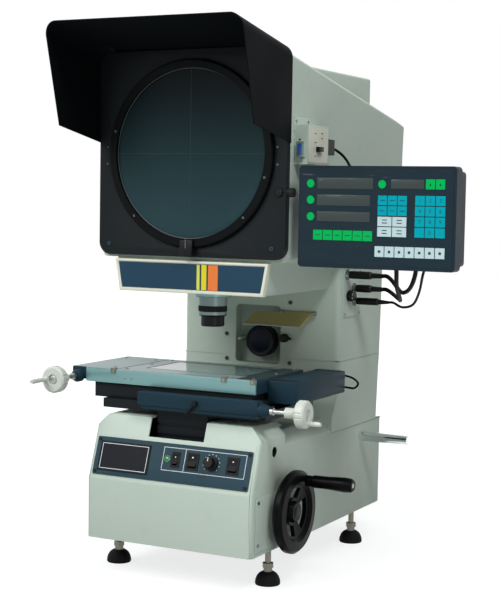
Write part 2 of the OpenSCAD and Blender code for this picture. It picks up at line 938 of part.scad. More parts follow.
module fan_frame() {
    color([0.10, 0.10, 0.11])
        difference() {
            intersection() {
                translate([0, 0, fan_z])
                    front_form(fan_back - fan_t - 4, fan_back + 10)
                        round_rect(fan_w, fan_w, 6);
                side_form(col_w - 2 * col_wall, col_outline(col_wall));
            }
            bar_y(fan_back - fan_t - 6, fan_back - 8, 0, fan_z, fan_w - 6);
            bar_y(fan_back - 4, fan_back + 20, 0, fan_z, fan_w - 6);
            difference() {
                bar_y(fan_back - 10, fan_back, 0, fan_z, fan_w - 6);
                for (a = [0, 90])
                    translate([0, 0, fan_z])
                        rotate([0, a, 0])
                            box_between([-fan_w, fan_back - 11, -4], [fan_w, fan_back + 1, 4]);
                bar_y(fan_back - 11, fan_back + 1, 0, fan_z, fan_hub_d);
            }
            bar_y(fan_back - 12, fan_back - 5, 0, fan_z, 6 + 2 * run_gap);
        }
}

module fan_rotor() {
    color([0.14, 0.14, 0.15]) {
        bar_y(fan_back - fan_t, fan_back - 8 - slide_gap, 0, fan_z, fan_hub_d);
        bar_y(fan_back - 12, fan_back - 5.5, 0, fan_z, 6);
        for (a = [0:45:315])
            translate([0, fan_back - 22, fan_z])
                rotate([0, a, 0])
                    rotate([0, 0, 35])
                        box_between([-1.5, -9, 15], [1.5, 9, fan_w / 2 - 6]);
    }
}

module connector_panel() {
    color([0.76, 0.81, 0.77]) {
        translate([col_side, 0, 0])
            rotate([0, 0, 90])
                translate([conn_y, 0, conn_z])
                    front_form(-conn_t, 0)
                        round_rect(conn_w, conn_h, 3);
        for (s = socket_row)
            bar_x(panel_x - 1, panel_x + 8, s[0], s[1], s[2] + 5);
        difference() {
            bar_x(panel_x - 1, panel_x + 13, fuse_y, fuse_z, 21);
            for (a = [0:45:315])
                translate([0, fuse_y, fuse_z])
                    rotate([a, 0, 0])
                        bar_x(panel_x + 4, panel_x + 14, 11.5, 0, 5);
        }
    }
}

plug_end = [col_side + 76, col_side + 62, col_side + 76];
plug_tip = [4.5, 4.5, 3];
box_x = head_side + 26;
box_front = y_screen + 33;
box_rear = y_screen + 120;
box_low = readout_z + readout_h / 2 + 3;
hood_plug = 27;

module cable_plugs() {
    color([0.05, 0.05, 0.06]) {
        for (i = [0:2])
            revolve_x(socket_row[i][0], socket_row[i][1], [
                [0, panel_x + 8], [socket_row[i][2] / 2, panel_x + 8],
                [socket_row[i][2] / 2, plug_end[i] - 24],
                [socket_row[i][2] / 2 - 2, plug_end[i] - 20], [plug_tip[i], plug_end[i]],
                [0, plug_end[i]]
            ]);
        box_between([head_side + 8, box_rear, box_low + 19],
            [head_side + 26, box_rear + hood_plug, box_low + 47]);
    }
}

/* Head */

band_t = 10;
head_deep_z = 625;
corner_back = 51;
head_r = 8;
roof_angle = atan(roof_fall);

// Height of the roof at a place in Y
function roof_at(y) = roof_z - roof_fall * (y - head_front);

// Side outline of the head, moved inwards by the wall t
function head_outline(t) = [
    [head_front + t, head_z + t],
    [head_front + t, roof_at(head_front + t) - t],
    [head_back - corner_back, roof_at(head_back - corner_back) - t],
    [head_back - t, roof_at(head_back) - 6 - t],
    [head_back - t, head_deep_z + t / 2],
    [col_back + col_lean, head_z + t]
];

module neck_form(t, y0, y1, top) {
    front_form(y0 + t, y1 - t)
        polygon([
            [-neck_low_w / 2 + t, neck_z + t], [neck_low_w / 2 - t, neck_z + t],
            [neck_top_w / 2 - t, head_z - 3], [neck_top_w / 2 - t, top],
            [-neck_top_w / 2 + t, top], [-neck_top_w / 2 + t, head_z - 3]
        ]);
}

// The head's outside, with round edges along both sides of the falling roof
module head_form() {
    intersection() {
        side_form(head_w, head_outline(0));
        translate([0, head_front, roof_z])
            rotate([-roof_angle, 0, 0])
                front_form(-frame_h, 3 * frame_h)
                    translate([0, -2 * frame_h])
                        round_rect(head_w, 4 * frame_h, head_r);
    }
}

module head_shell() {
    color([0.72, 0.78, 0.73])
        difference() {
            union() {
                head_form();
                neck_form(0, head_front, col_front, head_z + 1);
            }
            side_form(head_w - 2 * head_wall, head_outline(head_wall));
            neck_form(head_wall, head_front, col_front, head_z + head_wall + 1);
            bar_y(head_front - 1, head_front + head_wall + 1, 0, screen_z, ring_d + 16);
            translate([0, y_axis, neck_z - 1])
                cylinder(h = head_wall + 2, d = lens_d - 6);
        }
}

module mirror_box() {
    box_start = head_front + (roof_z - box_z) / roof_fall;
    color([0.74, 0.80, 0.75])
        difference() {
            side_form(box_w, [[box_start, box_z], [box_back, box_z], [box_back, roof_at(box_back)]]);
            side_form(box_w - 2 * head_wall, [
                [box_start + 40, box_z - head_wall], [box_back - head_wall, box_z - head_wall],
                [box_back - head_wall, roof_at(box_back) - 5],
                [box_start + 40, roof_at(box_start + 40) - 5]
            ]);
        }
}

module name_band() {
    color([0.85, 0.86, 0.78])
        difference() {
            front_form(head_front - band_t, head_front)
                polygon([
                    [-neck_low_w / 2, neck_z], [neck_low_w / 2, neck_z],
                    [neck_top_w / 2, head_z - 3], [-neck_top_w / 2, head_z - 3]
                ]);
            front_form(head_front - band_t - 1, head_front - band_t + 2)
                polygon([
                    [-neck_low_w / 2 + 6, neck_z + 6], [neck_low_w / 2 - 6, neck_z + 6],
                    [neck_top_w / 2 - 7, head_z - 8], [-neck_top_w / 2 + 7, head_z - 8]
                ]);
        }
}

module fold_mirrors() {
    floor_z = neck_z + head_wall;
    upper_z = head_z + head_wall;
    color([0.55, 0.60, 0.64]) {
        side_form(76, [
            [y_axis - 38, floor_z], [y_axis - 30, floor_z], [y_axis + 38, floor_z + 68],
            [y_axis + 32, floor_z + 73]
        ]);
        side_form(240, [
            [head_back - 110, upper_z], [head_back - 40, 800], [head_back - 32, 800],
            [head_back - 100, upper_z]
        ]);
    }
}

module objective_mount() {
    color([0.70, 0.71, 0.70])
        translate([0, y_axis, 0])
            rotate_extrude()
                polygon([
                    [lens_d / 2 - 3, neck_z - 10], [lens_flange_d / 2 - 2, neck_z - 10],
                    [lens_flange_d / 2, neck_z - 8],
                    [lens_flange_d / 2, neck_z], [lens_d / 2 - 3, neck_z]
                ]);
}

module objective_lens() {
    lens_low = neck_z - lens_l;
    color([0.12, 0.12, 0.13])
        translate([0, y_axis, 0])
            rotate_extrude()
                polygon([
                    [0, lens_low + 5], [lens_tip_d / 2 - 5, lens_low + 3],
                    [lens_tip_d / 2 - 3, lens_low],
                    [lens_tip_d / 2 - 1, lens_low], [lens_tip_d / 2, lens_low + 2],
                    [lens_tip_d / 2, lens_low + 18],
                    [lens_d / 2, lens_low + 20], [lens_d / 2, neck_z - 10], [0, neck_z - 10]
                ]);
}

/* Screen */

ring_flange = 5;
frame_r = 24;
knob_drop = 67;
knob_z = screen_z - knob_drop;
knob_y = head_front - 5.3;
knob_d = 16;
knob_end = frame_side + 12;
knob_shaft_d = 6;
roller_d = 10;
roller_w = 4;
roller_x = sqrt(pow(ring_d / 2 + slide_gap, 2) - pow(knob_drop - roller_d / 2, 2)) + roller_w / 2;
ring_front = y_screen - ring_proud;
lip_t = 7;

module screen_frame() {
    color([0.13, 0.15, 0.16])
        difference() {
            translate([0, 0, (frame_low_z + frame_high_z) / 2])
                front_form(y_screen, head_front)
                    round_rect(frame_w, frame_h, frame_r);
            bar_y(y_screen - 1, head_front + 1, 0, screen_z, ring_d + 2 * slide_gap);
            bar_x(roller_x, frame_side + 1, knob_y, knob_z, knob_shaft_d + 2 * run_gap);
            box_between([roller_x - roller_w, knob_y - roller_d / 2 - slide_gap, knob_z - roller_d],
                        [roller_x + roller_w, head_front + 1, knob_z + roller_d]);
        }
}

module screen_ring() {
    color([0.10, 0.11, 0.12])
        revolve_y(0, screen_z, [
            [view_d / 2, ring_front], [ring_d / 2 - 2, ring_front], [ring_d / 2, ring_front + 2],
            [ring_d / 2, head_front + slide_gap], [ring_d / 2 + ring_flange, head_front + slide_gap],
            [ring_d / 2 + ring_flange, head_front + 4], [glass_d / 2 + run_gap, head_front + 4],
            [glass_d / 2 + run_gap, ring_front + lip_t], [view_d / 2, ring_front + lip_t]
        ], $fn = 128);
}

module screen_glass() {
    color([0.16, 0.26, 0.28])
        bar_y(ring_front + lip_t, ring_front + lip_t + glass_t, 0, screen_z, glass_d, $fn = 128);
}

module screen_knob() {
    color([0.06, 0.06, 0.07]) {
        difference() {
            bar_x(frame_side + 0.5, knob_end, knob_y, knob_z, knob_d);
            for (a = [0:20:340])
                translate([0, knob_y, knob_z])
                    rotate([a, 0, 0])
                        bar_x(frame_side + 2, knob_end + 1, knob_d / 2 + 0.4, 0, 1.8);
        }
        bar_x(roller_x - roller_w / 2, frame_side + 2, knob_y, knob_z, knob_shaft_d);
        bar_x(roller_x - roller_w / 2, roller_x + roller_w / 2, knob_y, knob_z, roller_d);
    }
}

module index_block() {
    ring_low = screen_z - ring_d / 2;
    color([0.14, 0.15, 0.16])
        side_form(26, [
            [y_screen, ring_low - 15], [y_screen, ring_low - 1.5], [ring_front - 1, ring_low - 1.5],
            [ring_front - 1, ring_low + 13], [ring_front - 5, ring_low + 13],
            [ring_front - 7, ring_low - 15]
        ]);
}

module hood() {
    top_back = frame_high_z + slide_gap;
    color([0.11, 0.12, 0.13])
        intersection() {
            side_form(frame_w + 40, [
                [head_front - 1, hood_back_z], [y_screen - hood_low, hood_front_z],
                [y_screen - hood_top, top_back + 80], [head_front - 1, top_back + 80]
            ]);
            translate([0, head_front, top_back])
                rotate([-roof_angle, 0, 0])
                    front_form(-2 * hood_top, 5 * frame_t)
                        difference() {
                            translate([0, -frame_h])
                                round_rect(frame_w + 2 * hood_t, 2 * frame_h + 2 * hood_t,
                                    frame_r - 2 + hood_t);
                            translate([0, -frame_h])
                                round_rect(frame_w, 2 * frame_h, frame_r - 2);
                        }
        }
}

/* Stage */

plate_left = 168;
plate_right = 170;
light_d = 100;
x_travel = 75;
y_travel = 25;
rail_y = [table_front + 24, table_back - 26];
rail_x = [-160, 118];
saddle_left = 193;
saddle_right = 140;
x_box_left = -80;
x_box_right = 165;
x_box_low = plate_low + 7;
x_box_high = x_box_low + 31;
x_box_t = 23;
x_box_front = table_front - 2 - x_box_t;
crank_y = x_box_front + 11;
crank_z = x_box_low + 15;
x_crank_x = 216;
y_block_left = table_left + 32;
y_crank_x = -(table_left + 17);
y_crank_z = table_low + 9;
y_crank_y = table_front - 69;
peg_off = 15;

module stage_plate() {
    color([0.12, 0.14, 0.16])
        difference() {
            union() {
                box_between([-plate_left, table_front - 2, plate_low],
                    [plate_right, table_back, plate_top]);
                for (y = rail_y)
                    box_between([-plate_left, y - rail_w / 2, plate_top - 1],
                        [plate_right, y + rail_w / 2, plate_top + rail_h]);
            }
            translate([0, y_axis, plate_low - 1])
                cylinder(h = plate_t + 2, d = light_d);
        }
}

module x_scale_box() {
    color([0.15, 0.21, 0.27])
        difference() {
            union() {
                front_form(x_box_front, table_front - 2)
                    polygon([
                        [x_box_left, x_box_low + 8], [x_box_left + 14, x_box_low],
                        [x_box_right, x_box_low],
                        [x_box_right, x_box_high], [x_box_left, x_box_high]
                    ]);
                revolve_x(crank_y, crank_z, [
                    [0, x_box_right - 1], [12, x_box_right - 1], [12.5, x_box_right + 6],
                    [11, x_box_right + 14],
                    [7, x_box_right + 20], [0, x_box_right + 20]
                ]);
            }
            bar_x(x_box_right - 60, x_box_right + 30, crank_y, crank_z, crank_shaft_d + 2 * run_gap);
            bar_y(x_box_front - 1, x_box_front + 8, lock_x, lock_z, lock_pin_d + 2 * run_gap);
        }
}

lock_x = 42;
lock_z = x_box_low + 19;
lock_pin_d = 5;
lock_l = 27;

module x_lock() {
    color([0.05, 0.05, 0.06]) {
        bar_y(x_box_front - 7, x_box_front - slide_gap, lock_x, lock_z, 9);
        bar_y(x_box_front - 4, x_box_front + 7, lock_x, lock_z, lock_pin_d);
        translate([lock_x, x_box_front - 4, lock_z])
            rotate([0, 180 + 41, 0])
                cylinder(h = lock_l, d = 4.5);
    }
}

// A fluted crank wheel with its hub and peg, along Z from its hub's end
module crank_wheel(peg_l) {
    difference() {
        union() {
            cylinder(h = 26, d = 19);
            translate([0, 0, 24])
                rotate_extrude()
                    polygon([
                        [0, 0], [crank_d / 2 - 2, 0], [crank_d / 2, 2], [crank_d / 2, crank_t - 3],
                        [crank_d / 2 - 3, crank_t], [10, crank_t], [9, crank_t - 3], [0, crank_t - 3]
                    ]);
        }
        for (a = [0:20:340])
            rotate([0, 0, a])
                translate([crank_d / 2 + 1, 0, 26])
                    cylinder(h = crank_t, d = 4.4);
    }
    translate([peg_off, 0, 24 + crank_t - 5])
        rotate_extrude()
            polygon([[0, 0], [5, 0], [5, 8], [4, 12], [4.5, peg_l - 2], [3.5, peg_l + 5],
                [0, peg_l + 5]]);
}

module x_crank() {
    color([0.84, 0.85, 0.80]) {
        translate([x_crank_x, crank_y, crank_z])
            rotate([0, 90, 0])
                crank_wheel(24);
        bar_x(x_box_right - 50, x_crank_x + 5, crank_y, crank_z, crank_shaft_d);
    }
}

module saddle() {
    color([0.10, 0.12, 0.14])
        difference() {
            union() {
                box_between([-saddle_left, table_front + 8, saddle_low],
                    [saddle_right, table_back - 7, saddle_top]);
                for (x = rail_x)
                    box_between([x - rail_w / 2, table_front + strip_t + y_travel + 4, saddle_top - 1],
                                [x + rail_w / 2, table_back - 7, saddle_top + rail_h]);
            }
            for (y = rail_y)
                box_between([-saddle_left - 1, y - rail_w / 2 - slide_gap, saddle_low - 1],
                            [saddle_right + 1, y + rail_w / 2 + slide_gap,
                                saddle_low + rail_h + slide_gap]);
            box_between([-x_travel - 40, y_axis - 55, saddle_low - 1],
                [x_travel + 25, y_axis + 40, saddle_top + rail_h + 1]);
        }
}

seat_t = 8;
strip_t = 6;
clip_w = 10;
clip_h = 7.5;
clip_t = 1.6;
clip_x = [-table_left + 60.5, table_right - 63, table_right - clip_w / 2];

module table() {
    color([0.22, 0.28, 0.31])
        difference() {
            union() {
                box_between([-table_left, table_front + strip_t, table_low],
                    [table_right, table_back, table_z]);
                box_between([-y_block_left, table_front + 3, table_low + 3],
                    [-table_left, table_back, table_z]);
                box_between([-table_left - 1, table_front + strip_t, table_low + 3],
                    [-table_left + 1, table_back, table_z]);
                revolve_y(y_crank_x, y_crank_z, [
                    [0, table_front + 4], [12, table_front + 4], [12, table_front - 6],
                    [8, table_front - 14], [0, table_front - 14]
                ]);
            }
            for (x = rail_x)
                box_between([x - rail_w / 2 - slide_gap, table_front + strip_t + 2, table_low - 1],
                            [x + rail_w / 2 + slide_gap, table_back + 1,
                                table_low + rail_h + slide_gap]);
            box_between([-stage_glass_w / 2, y_axis - stage_glass_d / 2, table_z - seat_t],
                        [stage_glass_w / 2, y_axis + stage_glass_d / 2, table_z + 1]);
            box_between([-stage_glass_w / 2 + 6, y_axis - stage_glass_d / 2 + 6, table_low - 1],
                        [stage_glass_w / 2 - 6, y_axis + stage_glass_d / 2 - 6, table_z]);
            bar_y(table_front - 20, table_front + 60, y_crank_x, y_crank_z,
                crank_shaft_d + 2 * run_gap);
            box_between([-142.5, table_front + strip_t - 1, table_z - 1],
                [-141.5, table_back + 1, table_z + 1]);
        }
}

// The front strip with the three clips that grip the table's edge
module table_strip() {
    color([0.55, 0.68, 0.67]) {
        box_between([-table_left, table_front, table_low],
            [table_right, table_front + strip_t, table_z]);
        for (x = clip_x)
            side_clip(x);
    }
}

module side_clip(x) {
    translate([x, 0, 0])
        side_form(clip_w, [
            [table_front + strip_t, table_z], [table_front, table_z], [table_front, table_z - clip_h],
            [table_front - clip_t, table_z - clip_h], [table_front - clip_t, table_z + clip_t],
            [table_front + strip_t, table_z + clip_t]
        ]);
}

module stage_glass() {
    color([0.55, 0.68, 0.68])
        box_between([-stage_glass_w / 2 + slide_gap, y_axis - stage_glass_d / 2 + slide_gap,
            table_z - seat_t],
                    [stage_glass_w / 2 - slide_gap, y_axis + stage_glass_d / 2 - slide_gap, table_z]);
}

y_box_w = 56;
y_box_z = table_z - 4;
y_box_h = 41;

module y_scale_box() {
    color([0.15, 0.21, 0.27])
        box_between([table_right, table_front + 48, y_box_z - y_box_h],
            [table_right + 4 + y_box_w, table_back + 60, y_box_z]);
}

module y_crank() {
    color([0.84, 0.85, 0.80]) {
        translate([y_crank_x, y_crank_y + 26, y_crank_z])
            rotate([90, 0, 0])
                rotate([0, 0, 180])
                    crank_wheel(44);
        bar_y(y_crank_y + 20, table_front + 55, y_crank_x, y_crank_z, crank_shaft_d);
    }
}

/* Digital readout and interface */

readout_front = y_screen + 5;
readout_back = readout_front + readout_t;
pivot_x = readout_x - 13;
pivot_y = readout_back + 40;
pivot_z = readout_z;
lug_t = 8;
boss_l = 30;
arm_d = 24;

module readout() {
    color([0.14, 0.18, 0.24]) {
        translate([readout_x, 0, readout_z]) {
            front_form(readout_front, readout_front + 26)
                round_rect(readout_w, readout_h, 7);
            front_form(readout_front + 26, readout_back)
                round_rect(readout_w - 14, readout_h - 14, 7);
        }
        for (side = [-1, 1])
            translate([pivot_x, 0, pivot_z + side * (boss_l / 2 + slide_gap + lug_t / 2)]) {
                box_between([-15, readout_back - 1, -lug_t / 2], [15, pivot_y, lug_t / 2]);
                translate([0, pivot_y, 0])
                    cylinder(h = lug_t, d = 30, center = true);
            }
        translate([pivot_x, pivot_y, pivot_z])
            cylinder(h = boss_l + 2 * slide_gap + 2 * lug_t, d = pivot_d, center = true);
    }
}

module readout_arm() {
    color([0.66, 0.72, 0.67])
        difference() {
            union() {
                box_between([head_side, pivot_y - 28, pivot_z - 28],
                    [head_side + 8, pivot_y + 28, pivot_z + 28]);
                bar_x(head_side + 4, pivot_x, pivot_y, pivot_z, arm_d);
                translate([pivot_x, pivot_y, pivot_z])
                    cylinder(h = boss_l, d = 32, center = true);
            }
            translate([pivot_x, pivot_y, pivot_z])
                cylinder(h = boss_l + 2, d = pivot_d + 2 * run_gap, center = true);
        }
}

module interface_box() {
    color([0.80, 0.84, 0.80]) {
        box_between([head_side, box_front, box_low], [box_x, box_rear, box_low + 69]);
        box_between([head_side, box_front - 5, box_low + 60],
            [head_side + 2, box_rear - 30, box_low + 83]);
        box_between([head_side + 6, box_front - 5, box_low + 13],
            [head_side + 20, box_front + 1, box_low + 39]);
        bar_x(box_x - 1, box_x + 6, (box_front + box_rear) / 2, box_low + 30, 7);
    }
}

/* Cables */

// A point on the smooth curve through the points p, a part t past point i
function curve_at(p, i, t) =
    let (a = p[max(i - 1, 0)], b = p[i], c = p[i + 1], d = p[min(i + 2, len(p) - 1)])
    0.5 * (2 * b + (c - a) * t + (2 * a - 5 * b + 4 * c - d) * t * t + (3 * b - a - 3 * c + d) * t * t * t);

// Points along that curve with n steps between each pair of points
function curve(p, n) = concat([for (i = [0:len(p) - 2], k = [0:n - 1]) curve_at(p, i, k / n)],
    [p[len(p) - 1]]);

function unit(v) = v / norm(v);

// The running direction at point i of a curve c, square to the end faces
function heading(p, c, i) =
    i == 0 ? unit(p[1] - p[0]) :
    i == len(c) - 1 ? unit(p[len(p) - 1] - p[len(p) - 2]) : unit(c[i + 1] - c[i - 1]);

// A round cord through the points p; side is a direction the cord never runs in
module cord(p, d, n, sides, side) {
    c = curve(p, n);
    last = len(c) - 1;
    points = [
        for (i = [0:last], k = [0:sides - 1])
            let (h = heading(p, c, i), u = unit(cross(h, side)), v = cross(h, u))
                c[i] + (u * cos(k * 360 / sides) + v * sin(k * 360 / sides)) * d / 2
    ];
    walls = [
        for (i = [0:last - 1], k = [0:sides - 1], half = [0, 1])
            let (m = (k + 1) % sides, a = i * sides, b = (i + 1) * sides)
                half == 0 ? [a + k, b + m, a + m] : [a + k, b + k, b + m]
    ];
    ends = [
        [for (k = [0:sides - 1]) k],
        [for (k = [sides - 1:-1:0]) last * sides + k]
    ];
    polyhedron(points, concat(walls, ends));
}

cord_d = 8;
thin_d = 5;
stage_cord_d = 4;
entry_z = readout_z - readout_h / 2 + 17;
entry_y = readout_back;
plug_a = socket_row[0];
plug_b = socket_row[1];
plug_c = socket_row[2];
cord_a = [
    [plug_end[0], plug_a[0], plug_a[1]], [plug_end[0] + 10, plug_a[0], plug_a[1]], [272, 90, 541],
    [296, 60, 529], [322, 18, 523], [352, -30, 530], [378, -75, 547], [396, -108, 571],
    [404, entry_y + 14, entry_z], [404, entry_y, entry_z]
];
cord_b = [
    [plug_end[1], plug_b[0], plug_b[1]], [plug_end[1] + 10, plug_b[0], plug_b[1]], [262, 122, 513],
    [294, 76, 506], [318, 20, 510], [338, -50, 538], [358, -104, 569],
    [364, entry_y + 14, entry_z], [364, entry_y, entry_z]
];
cord_c = [
    [plug_end[2], plug_c[0], plug_c[1]], [plug_end[2] + 10, plug_c[0], plug_c[1]], [290, 104, 489],
    [336, 40, 500], [374, -30, 529], [402, -90, 562], [424, entry_y + 14, entry_z],
    [424, entry_y, entry_z]
];
signal_x = head_side + 17;
signal_y = box_rear + hood_plug;
signal_z = box_low + 33;
cord_d_end = readout_z + 40;
cord_s = [
    [signal_x, signal_y, signal_z], [signal_x, signal_y + 9, signal_z], [219, -41, 776],
    [231, -35, 760], [250, -58, 740], [274, -100, 716], [288, entry_y + 14, cord_d_end],
    [288, entry_y, cord_d_end]
];

module readout_cables() {
    color([0.04, 0.04, 0.05]) {
        cord(cord_a, cord_d, 2, 10, [0, 0, 1]);
        cord(cord_b, cord_d, 2, 10, [0, 0, 1]);
        cord(cord_c, thin_d, 2, 8, [0, 0, 1]);
        cord(cord_s, thin_d, 2, 8, [0, 0, 1]);
    }
}

stage_x = table_right + 48;
stage_y = table_back + 60;
stage_cord = [
    [stage_x, stage_y, y_box_z - 10], [stage_x, stage_y + 6, y_box_z - 10],
    [stage_x + 8, stage_y + 13, y_box_z - 11],
    [stage_x + 22, stage_y + 15, y_box_z - 15], [stage_x + 33, stage_y + 14, y_box_z - 24],
    [stage_x + 26, stage_y + 12, y_box_z - 33], [stage_x + 12, stage_y + 13, y_box_z - 33],
    [stage_x - 2, stage_y + 11, y_box_z - 32], [stage_x - 6, stage_y + 5, y_box_z - 31],
    [stage_x - 6, stage_y, y_box_z - 31]
];

module stage_cable() {
    color([0.04, 0.04, 0.05])
        cord(stage_cord, stage_cord_d, 1, 8, [1, -1, 1]);
}

base_shell();
base_plate();
foot_pads();
foot_screws();
side_cover();
control_panel();
badge_plate();
switch_bezels();
power_rocker();
contour_rocker();
surface_rocker();
pilot_lamp();
dimmer_knob();
wheel_bush();
handwheel();
handwheel_grip();
lift_frame();
lift_screw();
lift_carriage();
lifting_rods();
contour_lamp();
transformer();
mains_inlet();
column();
lamp_recess();
surface_lamp();
lamp_clamp();
mirror_bracket();
half_mirror();
fan_frame();
fan_rotor();
connector_panel();
cable_plugs();
head_shell();
mirror_box();
name_band();
fold_mirrors();
objective_mount();
objective_lens();
screen_frame();
screen_ring();
screen_glass();
screen_knob();
index_block();
hood();
stage_plate();
x_scale_box();
x_lock();
x_crank();
saddle();
table();
table_strip();
stage_glass();
y_scale_box();
y_crank();
stage_cable();
readout();
readout_arm();
interface_box();
readout_cables();
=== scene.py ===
"""Looks of a vertical profile projector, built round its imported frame.

Lengths are in millimetres in the machine's own frame, unless a name ends in _M for metres.
"""

import json
import logging
import math
from collections.abc import Callable, Iterable, Sequence
from dataclasses import dataclass, field
from enum import Enum

import bmesh
import bpy
from mathutils import Matrix, Vector

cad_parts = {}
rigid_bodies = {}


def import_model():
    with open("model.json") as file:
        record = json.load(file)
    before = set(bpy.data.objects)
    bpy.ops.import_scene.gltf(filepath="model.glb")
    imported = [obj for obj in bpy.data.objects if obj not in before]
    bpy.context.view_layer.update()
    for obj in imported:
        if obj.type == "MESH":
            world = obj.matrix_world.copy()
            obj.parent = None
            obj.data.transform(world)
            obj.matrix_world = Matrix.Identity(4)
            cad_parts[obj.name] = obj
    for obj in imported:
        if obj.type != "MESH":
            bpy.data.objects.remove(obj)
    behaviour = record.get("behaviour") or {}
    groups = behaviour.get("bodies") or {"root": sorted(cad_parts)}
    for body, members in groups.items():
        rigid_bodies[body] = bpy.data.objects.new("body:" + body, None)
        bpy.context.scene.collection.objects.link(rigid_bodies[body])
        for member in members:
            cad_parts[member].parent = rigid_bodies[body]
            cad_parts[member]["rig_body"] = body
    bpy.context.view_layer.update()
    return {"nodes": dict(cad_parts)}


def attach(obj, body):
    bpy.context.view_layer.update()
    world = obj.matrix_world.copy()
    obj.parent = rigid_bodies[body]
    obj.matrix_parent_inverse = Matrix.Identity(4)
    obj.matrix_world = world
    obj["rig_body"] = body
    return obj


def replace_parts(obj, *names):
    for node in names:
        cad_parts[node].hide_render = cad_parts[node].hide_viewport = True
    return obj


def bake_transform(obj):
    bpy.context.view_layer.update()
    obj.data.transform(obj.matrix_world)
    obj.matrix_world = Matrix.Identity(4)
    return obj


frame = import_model()

LOG = logging.getLogger("projector")
MM = 0.001
Point = tuple[float, float, float]
Colour = tuple[float, float, float]
Profile = Sequence[tuple[float, float]]
Bar = tuple[float, float, float, float]
Tree = bpy.types.NodeTree
Socket = bpy.types.NodeSocket
BMesh = bmesh.types.BMesh

X_AXIS = (1.0, 0.0, 0.0)
Y_AXIS = (0.0, 1.0, 0.0)
Z_AXIS = (0.0, 0.0, 1.0)
TO_FRONT = (0.0, -1.0, 0.0)
ORIGIN = (0.0, 0.0, 0.0)

SCREEN_Z = 770.0
SLOPE_TILT = math.atan(39.0 / 115.0)
SLOPE = Matrix.Translation((0.0, -280.0, 176.0)) @ Matrix.Rotation(-SLOPE_TILT, 4, "X")
PANEL_T = 2.5

GRAIN_STRENGTH = 0.6
GRAIN_DETAIL = 3.0
BLOTCH_SCALE = 9.0
BLOTCH_DETAIL = 4.0
COAT_ROUGHNESS = 0.08
# Colour of the painted shade near the floor and of the handling marks, and the heights over which
# the shade fades out.
SHADE_AND_MARK_COLOUR = (0.09, 0.085, 0.07)
LOW_SHADE_REACH_M = (0.06, 0.22)
MARK_SCALE = 38.0
MARK_DETAIL = 8.0
MARK_PEAKS = (0.56, 0.78)
MARK_SHARE = 0.8
SHADE_REACH_M = (0.95, 0.62)
FLOOR_WHITE = (0.95, 0.955, 0.955, 1.0)
FLOOR_REACH_M = (0.5, 2.2)
CREASE_TURN = (0.0, 0.5, 0.0)
CREASE_STRETCH = (1.0, 1.0, 2.6)
CREASE_SCALE = 11.0
CREASE_STRENGTH = 0.5
FILM_ROUGHNESS = 0.17


def linear(colour: Colour) -> Colour:
    """Turns an sRGB colour of 0 to 255 into linear light.

    Args:
        colour: Red, green and blue from 0 to 255.

    Returns:
        The same colour in linear light, from 0 to 1.
    """

    def channel(value: float) -> float:
        """Turns one channel."""
        part = value / 255.0
        return part / 12.92 if part <= 0.04045 else ((part + 0.055) / 1.055) ** 2.4

    return (channel(colour[0]), channel(colour[1]), channel(colour[2]))


def add(tree: Tree, kind: str, values: dict[str, object] | None = None) -> bpy.types.Node:
    """Adds a shader node.

    Args:
        tree: The nodes to add to.
        kind: Type of the node.
        values: Plain values of its inputs, by name.

    Returns:
        The node.
    """
    node = tree.nodes.new(kind)
    for name, value in (values or {}).items():
        node.inputs[name].default_value = value
    return node


def compute(tree: Tree, operation: str, first: Socket, second: Socket) -> Socket:
    """Adds a sum on two values.

    Args:
        tree: The nodes to add to.
        operation: Which sum it is.
        first: One value.
        second: The other value.

    Returns:
        The result.
    """
    node = add(tree, "ShaderNodeMath")
    node.operation = operation
    tree.links.new(first, node.inputs[0])
    tree.links.new(second, node.inputs[1])
    return node.outputs["Value"]


def remap(
    tree: Tree,
    value: Socket,
    reach: tuple[float, float],
    result: tuple[float, float],
    smooth: bool = False,
) -> Socket:
    """Maps a value from one range to another.

    Args:
        tree: The nodes to add to.
        value: The value.
        reach: Its two ends.
        result: What the ends become.
        smooth: True for a soft start and end.

    Returns:
        The mapped value.
    """
    ends = {"From Min": reach[0], "From Max": reach[1], "To Min": result[0], "To Max": result[1]}
    node = add(tree, "ShaderNodeMapRange", ends)
    if smooth:
        node.interpolation_type = "SMOOTHSTEP"
    tree.links.new(value, node.inputs["Value"])
    return node.outputs["Result"]


def mix_colours(tree: Tree, share: Socket, first: Colour | Socket, second: Colour) -> Socket:
    """Mixes two colours.

    Args:
        tree: The nodes to add to.
        share: How much of the second colour there is.
        first: A linear colour, or where it comes from.
        second: The other linear colour.

    Returns:
        The mixed colour.
    """
    node = add(tree, "ShaderNodeMix")
    node.data_type = "RGBA"
    if isinstance(first, Socket):
        tree.links.new(first, node.inputs["A"])
    else:
        node.inputs["A"].default_value = (*first, 1.0)
    node.inputs["B"].default_value = (*second, 1.0)
    tree.links.new(share, node.inputs["Factor"])
    return node.outputs["Result"]


def noise(tree: Tree, place: Socket, scale: float, detail: float) -> Socket:
    """Adds a noise texture.

    Args:
        tree: The nodes to add to.
        place: Where the texture takes its place from.
        scale: How fine it is, per metre.
        detail: How many octaves it has.

    Returns:
        The texture's value.
    """
    node = add(tree, "ShaderNodeTexNoise", {"Scale": scale, "Detail": detail})
    tree.links.new(place, node.inputs["Vector"])
    return node.outputs["Fac"]


def place_on(tree: Tree) -> Socket:
    """Gives the place on the object, in metres."""
    return add(tree, "ShaderNodeTexCoord").outputs["Object"]


def height_on(tree: Tree, place: Socket) -> Socket:
    """Gives the height of a place above the floor.

    Args:
        tree: The nodes to add to.
        place: The place, in metres.

    Returns:
        Its height, in metres.
    """
    split = add(tree, "ShaderNodeSeparateXYZ")
    tree.links.new(place, split.inputs["Vector"])
    return split.outputs["Z"]


